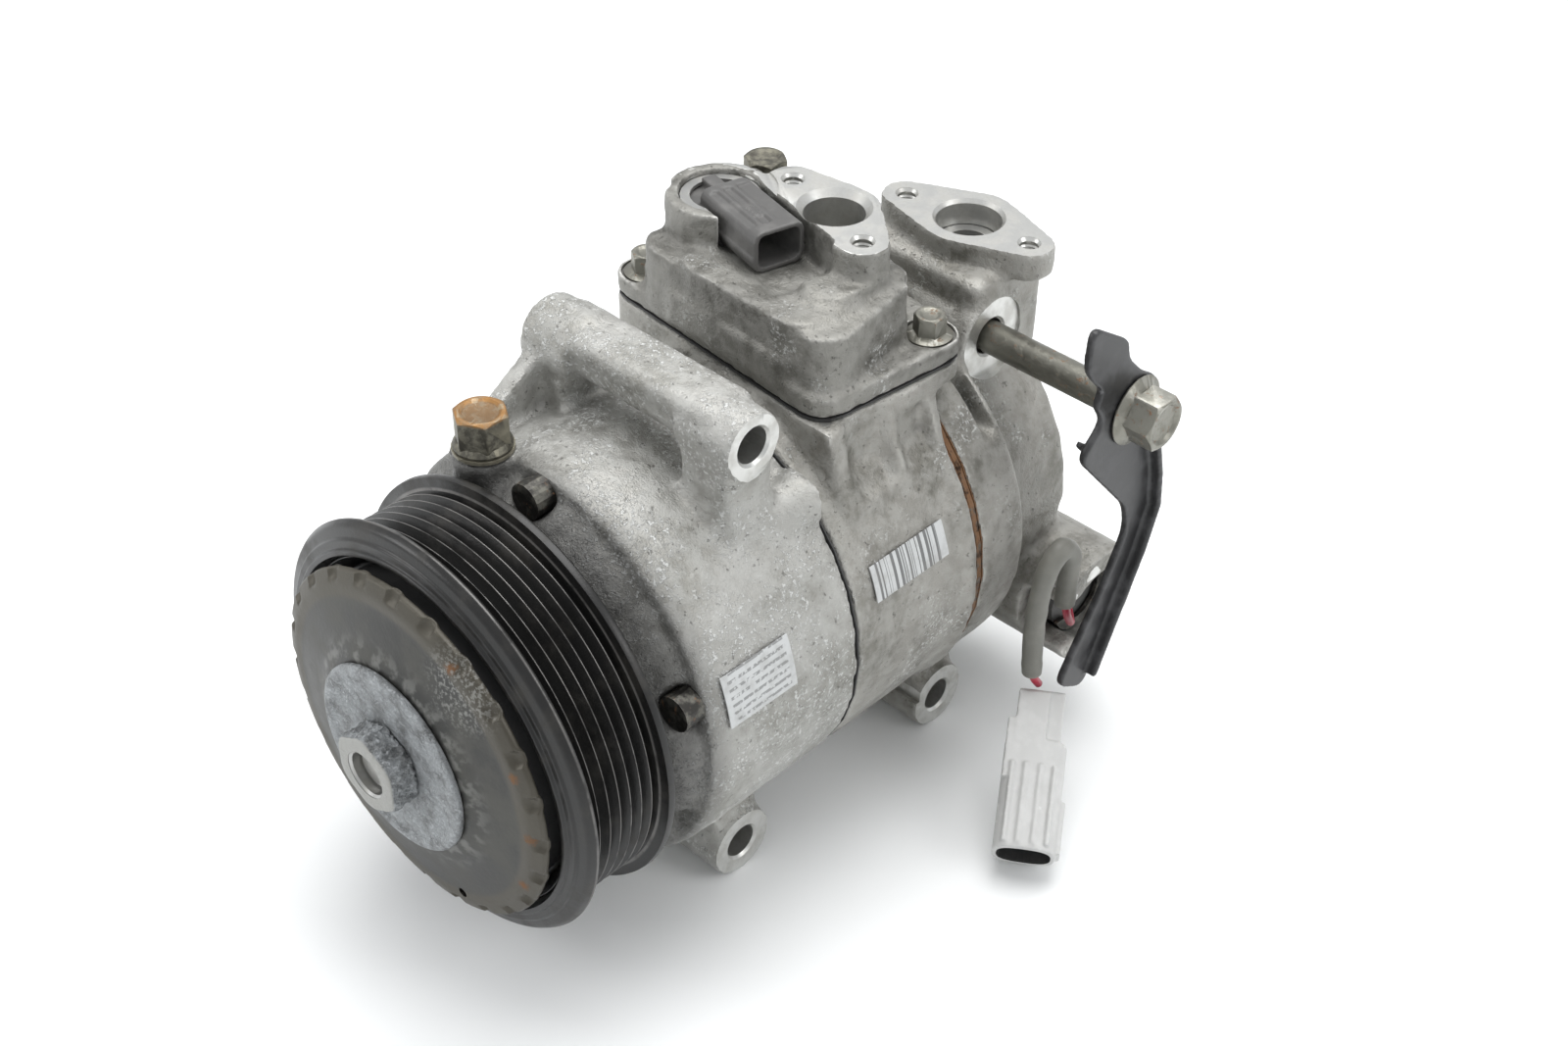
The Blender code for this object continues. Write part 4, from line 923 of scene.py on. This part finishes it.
# %% Pulley
RIB_PITCH, FIRST_ROOT, ROOT_R, CREST_R, RIB_COUNT = 3.56, 2.72, 54.3, 57.2, 7


def pulley():
    grooves = []
    for rib in range(RIB_COUNT):
        root = FIRST_ROOT + rib * RIB_PITCH
        grooves += [(ROOT_R + 0.35, root - 0.34), (ROOT_R, root), (ROOT_R + 0.35, root + 0.34)]
        if rib < RIB_COUNT - 1:
            crest = root + RIB_PITCH / 2
            grooves += [(CREST_R - 0.15, crest - 0.16), (CREST_R, crest - 0.07), (CREST_R, crest + 0.07),
                        (CREST_R - 0.15, crest + 0.16)]
    front = rounded([(52.4, -4.6), (54.2, -4.5), (54.6, -3.6), (56.6, -3.5), (57.1, -2.7), (60.0, -1.9),
                     (61.2, 0.1), (60.7, 1.2)], 1.2, 5)
    back = rounded([(60.8, 25.6), (60.8, 27.2), (59.6, 27.6), (48.5, 27.6), (48.5, 10.0), (34.0, 10.0),
                    (34.0, 22.5), (29.3, 22.5), (29.3, 7.6), (27.0, 7.6), (27.0, 3.4), (47.6, 3.4),
                    (51.2, -2.0)], 0.7, 3)
    piece = turned("pulley_wheel", front + grooves + back, 192)
    return stand_for(dress(piece, PULLEY_BLACK, "rotor", 50.0), "pulley")


pulley()


# %% [markdown]
# ## Limiter plate, washer and hub
#
# The dished plate is pressed from sheet, with a row of small notches round
# its rim where the rubber behind is gripped. They are pressed here too: each
# point of the turned plate that lies in a notch is moved inwards. The hub's
# hexagon has been eaten by rust, so its flanks are uneven.

# %% Front plate and hub
NOTCH_COUNT, NOTCH_R, NOTCH_HALF_WIDTH, NOTCH_DEPTH = 24, 50.4, 2.3, 1.3
SMALL_HOLE = (17.0, -14.0, -42.0)


def limiter_plate():
    outline = rounded([(10.4, -14.2), (28.5, -14.2), (33.0, -12.7), (44.0, -10.6), (47.6, -10.4),
                       (51.5, -8.8), (51.5, -6.9), (44.0, -8.4), (32.6, -10.6), (28.0, -12.2),
                       (10.4, -12.2)], 1.6, 5)
    fine = []
    for (r0, s0), (r1, s1) in zip(outline, outline[1:] + outline[:1]):
        steps = max(1, int(abs(r1 - r0) / 0.8))
        fine += [(r0 + (r1 - r0) * k / steps, s0 + (s1 - s0) * k / steps) for k in range(steps)]
    piece = turned("limiter_plate", fine, 384)
    for vertex in piece.data.vertices:
        spot = (vertex.co - SHAFT) / MM
        out = math.hypot(spot.x, spot.z)
        turn = math.atan2(spot.z, spot.x) * NOTCH_COUNT / (2 * math.pi)
        across = abs(turn - round(turn)) * 2 * math.pi * out / NOTCH_COUNT
        depth = max(0.0, 1 - (across / NOTCH_HALF_WIDTH) ** 2) * max(0.0, 1 - ((out - NOTCH_R) / 2.1) ** 2)
        vertex.co.y += min(1.0, depth * 1.8) * NOTCH_DEPTH * MM * (0.35 if spot.y > -8.0 else 1.0)
    carve(piece, "DIFFERENCE", [rod("Y", SMALL_HOLE, 6.0, 1.5, sides=24)], DARK_STEEL)
    return stand_for(dress(piece, PLATE_SLATE, "rotor", 40.0), "front_plate")


def limiter_washer():
    outline = rounded([(10.4, -16.0), (22.8, -16.0), (24.4, -16.7), (26.4, -16.8), (27.6, -16.0),
                       (27.6, -14.5), (10.4, -14.5)], 0.5, 3)
    piece = turned("washer_ring", outline, 128)
    return stand_for(dress(piece, CRUST, "rotor"), "limiter_washer")


def hub():
    piece = turned("hub_nut", [(6.3, -17.6), (12.0, -17.6), (12.0, -16.4), (10.1, -16.4), (10.1, -11.9),
                               (19.0, -11.9), (19.0, -8.0), (10.1, -8.0), (10.1, 1.6), (6.3, 1.6)], 96)
    nose = rod("Y", (0, -24.2, 0), 8.2, 12.6, sides=6)
    cone = turned("former", [(0, -24.2), (11.2, -24.2), (12.9, -22.6), (12.9, -10.0), (0, -10.0)], 96)
    carve(nose, "INTERSECT", [cone])
    carve(piece, "UNION", [nose])
    remesh(piece, 0.42)
    relax(piece, 6)
    for vertex, normal in zip(piece.data.vertices, [n.vector.copy() for n in piece.data.vertex_normals]):
        spot = (vertex.co - SHAFT) / MM
        on_hexagon = spot.y < -15.6 and math.hypot(spot.x, spot.z) > 9
        eaten = min(1.0, max(0.0, (spot.y + 23.9) / 0.8)) if on_hexagon else 0
        lump = noise.noise(spot / 1.6) + 0.6 * noise.noise(spot / 0.8)
        vertex.co += normal * min(0.0, lump - 0.35) * eaten * 0.9 * MM
    bore = turned("former", [(0, -30.0), (7.0, -30.0), (7.0, -24.0), (6.3, -23.4), (6.3, 5.0), (0, 5.0)], 96)
    carve(piece, "DIFFERENCE", [bore], STEEL)
    return stand_for(dress(piece, CRUST, "rotor"), "hub")


limiter_plate()
limiter_washer()
hub()


# %% [markdown]
# ## Bolts and plugs
#
# A hexagon head is a prism cut by a cone, which leaves the curved chamfers
# that every real bolt has. The flange below it is a thin turned dish, and the
# top is slightly hollow. Outlines run along the bolt's own axis, which is X for
# the long mounting bolt and Z for the rest.

# %% Bolt heads
# flange radius and thickness, hexagon radius and height, shank length and radius, hollow of the top
BLOCK_BOLT_SIZES = (6.6, 1.4, 4.7, 6.0, 12.4, 2.8, 0.5)
LONG_BOLT_SIZES = (10.5, 2.4, 8.4, 8.5, 110.5, 4.8, 0.9)
PLUG_SIZES = (8.0, 2.0, 7.7, 8.8, 13.9, 4.3, 0.7)
RELIEF_SIZES = (6.2, 1.2, 6.4, 3.5, 11.3, 4.4, 0.6)


def hexagon_head(name, axis, seat, flange_r, flange_t, hex_r, hex_t, shank, shank_r, hollow):
    """A flanged hexagon head that sits at a point, with its shank behind it."""
    x, y, z = seat
    sunk = flange_t - 0.6
    if axis == "X":
        station, spin_at, start = x, (0, y, z), (x + sunk, y, z)
    else:
        station, spin_at, start = z, (x, y, 0), (x, y, z + sunk)
    top = flange_t + hex_t - 0.5
    flat_r = hex_r * math.cos(math.pi / 6)
    prism_part = rod(axis, start, hex_t + 0.1, hex_r, sides=6)
    tip = station + top
    cone = turned("former", [(0, station), (hex_r + 0.3, station), (hex_r + 0.3, tip - 1.0),
                             (flat_r - 0.15, tip), (flat_r - 1.1, tip), (flat_r - 2.0, tip - hollow),
                             (0, tip - hollow)], 64, spin_at, axis)
    carve(prism_part, "INTERSECT", [cone])
    end = station - shank
    body = turned(name, [(0, end), (shank_r - 0.7, end), (shank_r, end + 0.8), (shank_r, station),
                         (flange_r - 0.2, station), (flange_r, station + 0.25), (flange_r, station + 0.6),
                         (flat_r + 0.3, station + flange_t), (0, station + flange_t)], 96, spin_at, axis)
    carve(body, "UNION", [prism_part])
    edge = body.modifiers.new("edges", "BEVEL")
    edge.width, edge.segments, edge.limit_method, edge.angle_limit = 0.22 * MM, 2, "ANGLE", math.radians(25)
    edge.use_clamp_overlap = True
    return settle(body)


def bolts():
    plan = [(f"flange_bolt_{i + 1}", f"block_bolt_{i + 1}", "Z", (*spot, SADDLE_Z + 6.0), BLOCK_BOLT_SIZES)
            for i, spot in enumerate(BLOCK_BOLTS)]
    plan += [("long_mounting_bolt", "mount_bolt", "X", (84.7, *REAR_EAR), LONG_BOLT_SIZES),
             ("filling_plug", "fill_plug", "Z", (*PLUG, 62.0), PLUG_SIZES),
             ("relief_plug", "relief_valve", "Z", (-30.0, 152.5, 93.3), RELIEF_SIZES)]
    for name, stands_for, axis, seat, sizes in plan:
        finish, slot = (ZINC, "zinc_steel") if "bolt" in name else (BRASS, "brass")
        stand_for(dress(hexagon_head(name, axis, seat, *sizes), finish, sharp=28.0), stands_for)


bolts()


# %% [markdown]
# ## Flow sensor
#
# A black moulding: a round cap down in the tower, with a bar across it, and
# the tube for its plug, with two rails on top and a thin flange along each
# side. Small voxels keep its edges crisp while rounding them like a moulding.

# %% Sensor
def sensor_block(low, high):
    """A block in the plug tube's own axes: up, across, along."""
    return block_along(sensor_move(), low, high)


def flow_sensor():
    piece = copy_of("flow_sensor", "sensor_moulding")
    between_rails = [sensor_block((-7.5, low, 3.0), (-5.5, high, 24.5))
                     for low, high in ((-9.0, -4.2), (-2.6, 0.2), (1.8, 9.0))]
    wings = [sensor_block((1.6, side * 7.6 - 0.7, 6.0), (2.9, side * 7.6 + 0.7, 28.0)) for side in (-1, 1)]
    bar = sensor_block((-4.0, -2.2, -9.0), (-1.2, 2.2, 4.0))
    latch = sensor_block((-6.1, -1.9, 14.0), (-5.2, -0.5, 20.0))
    carve(piece, "DIFFERENCE", between_rails)
    carve(piece, "UNION", [*wings, bar, latch])
    remesh(piece, 0.36)
    relax(piece, 3)
    return stand_for(dress(piece, SENSOR_PLASTIC), "flow_sensor")


flow_sensor()


# %% [markdown]
# ## Bracket
#
# The bracket is one bent strip of sheet steel: a tab above the bolt, a narrow
# neck round it, a broad ear that folds towards the casing, and a long arm
# down to the connector. A fold along the arm makes it stiff.

# %% Bracket
BRACKET_X, BRACKET_T = 82.0, 2.4


def sheet(outline, start_x, thickness):
    """A flat outline of (y, z), thickened along X."""
    upright = Matrix(((0, 0, 1, 0), (1, 0, 0, 0), (0, 1, 0, 0), (0, 0, 0, 1)))
    return prism(outline, thickness, Matrix.Translation(place(start_x, 0, 0)) @ upright)


def bracket():
    outline = [(156.0, 91.0), (173.0, 79.5), (174.5, 73.0), (181.5, 65.5), (190.0, 60.0), (190.5, 46.0),
               (196.0, 25.0), (198.0, 13.5), (192.5, -2.0), (173.0, -45.0), (160.0, -37.0), (177.0, -9.5),
               (185.5, 8.0), (183.0, 18.0), (157.0, 47.5), (166.0, 56.0), (161.5, 63.0), (163.5, 67.5),
               (155.0, 77.0)]
    piece = sheet(rounded(outline, 5.0, 6), BRACKET_X, BRACKET_T)
    piece.name = "sheet_bracket"
    edge = [(189.6, 44.0), (194.6, 26.0), (196.2, 13.5), (191.6, -1.0), (174.5, -39.0)]
    fold = sheet(edge + [(y - 2.0, z) for y, z in reversed(edge)], BRACKET_X, 6.2)
    flap = [(160.6, 48.6), (182.6, 23.4)]
    flap_fold = sheet([*flap, (184.0, 24.6), (162.0, 49.8)], BRACKET_X - 3.0, 5.0)
    carve(piece, "UNION", [fold, flap_fold])
    carve(piece, "DIFFERENCE", [rod("X", (BRACKET_X - 5, *REAR_EAR), 12.0, 5.2)])
    remesh(piece, 0.5)
    relax(piece, 5)
    return stand_for(dress(piece, BRACKET_BLACK, sharp=60.0), "connector_bracket")


bracket()


# %% [markdown]
# ## Lead and its connector
#
# The lead leaves the control valve as a red wire, climbs inside a soft grey
# sleeve, and comes down to the pale connector. The connector is two boxes in
# one moulding: a plain block at the top with a step, and a ribbed hood with an
# oval mouth below. Its own axes follow the direction in which it points.

# %% Connector
PLUG_END, PLUG_AIM = (77.8, 162.0, -46.5), Vector((0.505, -0.757, -0.413)).normalized()


def plug_move():
    level = PLUG_AIM.cross(Vector((0, 0, 1))).normalized()
    turn = Matrix((level, PLUG_AIM.cross(level), PLUG_AIM)).transposed().to_4x4()
    return Matrix.Translation(place(*PLUG_END)) @ turn


def plug_block(low, high):
    return block_along(plug_move(), low, high)


def oval(half_wide, half_high, power=2.6, samples=40):
    """A squarish oval, as a list of points."""
    points = []
    for i in range(samples):
        c, s = math.cos(2 * math.pi * i / samples), math.sin(2 * math.pi * i / samples)
        points.append((half_wide * math.copysign(abs(c) ** (2 / power), c),
                       half_high * math.copysign(abs(s) ** (2 / power), s)))
    return points


def lead_connector():
    neck = plug_block((-7.0, -6.0, 0.0), (6.6, 5.8, 20.0))
    step = plug_block((-2.6, -7.4, 1.0), (6.8, -4.0, 17.5))
    fin = plug_block((4.0, -7.2, 10.0), (9.0, 3.0, 29.0))
    hood = prism(oval(9.2, 7.4, 3.2), 34.0, plug_move() @ Matrix.Translation((0, 0, 16.0 * MM)))
    ribs = [plug_block((x - 0.7, -8.0, 24.0), (x + 0.7, -5.0, 48.5)) for x in (-6.2, -2.2, 2.2, 6.2)]
    lug = plug_block((-10.4, -3.0, 33.0), (-7.0, 4.0, 49.0))
    piece = step
    piece.name = "plug_moulding"
    carve(piece, "UNION", [neck, fin, hood, *ribs, lug])
    remesh(piece, 0.42)
    relax(piece, 3)
    mouth = prism(oval(7.9, 5.9, 2.8), 30.0, plug_move() @ Matrix.Translation((0, 0, 34.0 * MM)))
    # Painted shade: the mouth's cut walls take the dark plastic finish, so the inside of the pale hood reads
    # dark.
    carve(piece, "DIFFERENCE", [mouth], DARK_PLASTIC)
    return stand_for(dress(piece, PALE_PLASTIC), "lead_connector")


def connector_insert():
    """The dark face with two pins, deep in the connector's mouth."""
    piece = prism(oval(7.0, 5.0, 2.6), 1.5, plug_move() @ Matrix.Translation((0, 0, 34.4 * MM)))
    pins = [plug_block((x - 1.0, -0.5, 33.9), (x + 1.0, 0.5, 42.0)) for x in (-2.4, 2.4)]
    piece.name = "plug_insert"
    carve(piece, "UNION", pins)
    return dress(piece, DARK_PLASTIC)


print("connector:", lead_connector().name, connector_insert().name)


# %% [markdown]
# ## The sleeve
#
# The sleeve is soft tube. It bulges and pinches a little where it bends, so
# its radius varies slowly along the same route as in the frame.

# %% Sleeve and wires
SLEEVE_ROUTE = ((74.5, 172.8, -17.2), (75.8, 171.0, -6.0), (77.6, 168.0, 5.5), (78.0, 162.5, 10.5),
                (77.4, 157.5, 5.0), (76.4, 156.2, -8.0), (76.0, 156.6, -22.0), (76.2, 157.4, -34.0))
WIRE_ROUTE = ((65.9, 188.6, -31.4), (67.0, 186.5, -32.0), (72.5, 180.5, -31.0), (74.3, 175.5, -24.5),
              (74.5, 173.2, -17.6))
TAIL_ROUTE = ((76.2, 157.5, -34.4), (76.2, 159.2, -38.0), (76.4, 161.4, -41.3))


def smooth_path(points, per_span):
    ends = [points[0]] + list(points) + [points[-1]]
    path = []
    for i in range(len(points) - 1):
        p0, p1, p2, p3 = (Vector(ends[i + k]) for k in range(4))
        for step in range(per_span):
            t = step / per_span
            path.append(0.5 * (2 * p1 + (p2 - p0) * t + (2 * p0 - 5 * p1 + 4 * p2 - p3) * t * t
                               + (3 * p1 - p0 - 3 * p2 + p3) * t ** 3))
    path.append(Vector(points[-1]))
    return path


def soft_tube(name, route, radius, bulge, per_span=10):
    curve = bpy.data.curves.new(name, "CURVE")
    curve.dimensions, curve.bevel_depth, curve.bevel_resolution = "3D", radius * MM, 8
    curve.use_fill_caps = True
    spline = curve.splines.new("POLY")
    path = smooth_path(route, per_span)
    spline.points.add(len(path) - 1)
    for point, spot in zip(spline.points, path):
        point.co = (*place(*spot), 1)
        point.radius = 1 + bulge * noise.noise(spot / 4.0)
    guide = bpy.data.objects.new(name, curve)
    bpy.context.scene.collection.objects.link(guide)
    bpy.context.view_layer.update()
    mesh = bpy.data.meshes.new_from_object(guide.evaluated_get(bpy.context.evaluated_depsgraph_get()))
    bpy.data.objects.remove(guide, do_unlink=True)
    cage = bmesh.new()
    cage.from_mesh(mesh)
    bmesh.ops.remove_doubles(cage, verts=cage.verts, dist=0.000005)
    return as_piece(name, cage)


stand_for(dress(soft_tube("soft_sleeve", SLEEVE_ROUTE, 3.1, 0.10), SLEEVE), "lead_sleeve")
stand_for(dress(soft_tube("valve_lead_wire", WIRE_ROUTE, 1.25, 0.02), RED_WIRE), "valve_wire")
stand_for(dress(soft_tube("plug_lead_wire", TAIL_ROUTE, 1.25, 0.02), RED_WIRE), "connector_wire")


# %% [markdown]
# ## Shoes between plate and pistons
#
# Each piston rides on the swash plate through two domed shoes. They are small
# turned buttons that lie flat on the plate and tilt with it.

# %% Shoes
PLATE_HALF, SWASH_Y, SHOE_R = 3.2, 80.0, 4.6


def shoes():
    for i, turn in enumerate(PISTON_TURNS):
        for side, label in ((-1, "front"), (1, "rear")):
            face = SWASH_Y + side * (PLATE_HALF + 0.1)
            arc = [math.radians(15 * k) for k in range(6)]
            dome = [(SHOE_R * math.cos(a), face + side * (0.6 + 1.8 * math.sin(a))) for a in arc]
            dome = [(0, face), (SHOE_R, face), *dome, (0, face + side * 2.4)]
            shoe = turned(f"shoe_{i + 1}_{label}", dome, 32,
                          (PISTON_PITCH_R * math.cos(turn), 0, PISTON_PITCH_R * math.sin(turn)))
            dress(shoe, STEEL, "swash")


shoes()


# %% [markdown]
# ## Finishes for the pieces that stay
#
# The rest of the frame's solids already have their true shape, so each only
# takes its finish.

# %% Finishes on the frame's own solids
KEPT = {CAST: [f"piston_{i}" for i in range(1, 8)],
        DARK_STEEL: ["valve_circlip", *(f"through_bolt_{i}" for i in range(1, 6))],
        STEEL: ["shaft", "lug_plate", "drive_flange", "pulley_bearing", "bearing_ring", "front_shaft_bearing",
                "rear_shaft_bearing", "swash_plate", "return_spring", "suction_seat_ring", "sensor_circlip"],
        SEAL_RUBBER: ["front_gasket", "block_gasket", "damper_ring", "shaft_seal"],
        RUST: ["rear_gasket_inner", "rear_gasket_outer", "valve_plate"],
        DARK_PLASTIC: ["suction_check_valve", "control_valve"],
        BRASS: ["fill_plug_washer"],
        ROW_PAPER: ["data_label"], BAR_PAPER: ["code_label"]}
for kept_finish, names in KEPT.items():
    for kept in names:
        solid = frame["nodes"][kept]
        for material_slot in solid.material_slots:
            material_slot.material = kept_finish
print("finished", sum(len(names) for names in KEPT.values()), "of the frame's solids")
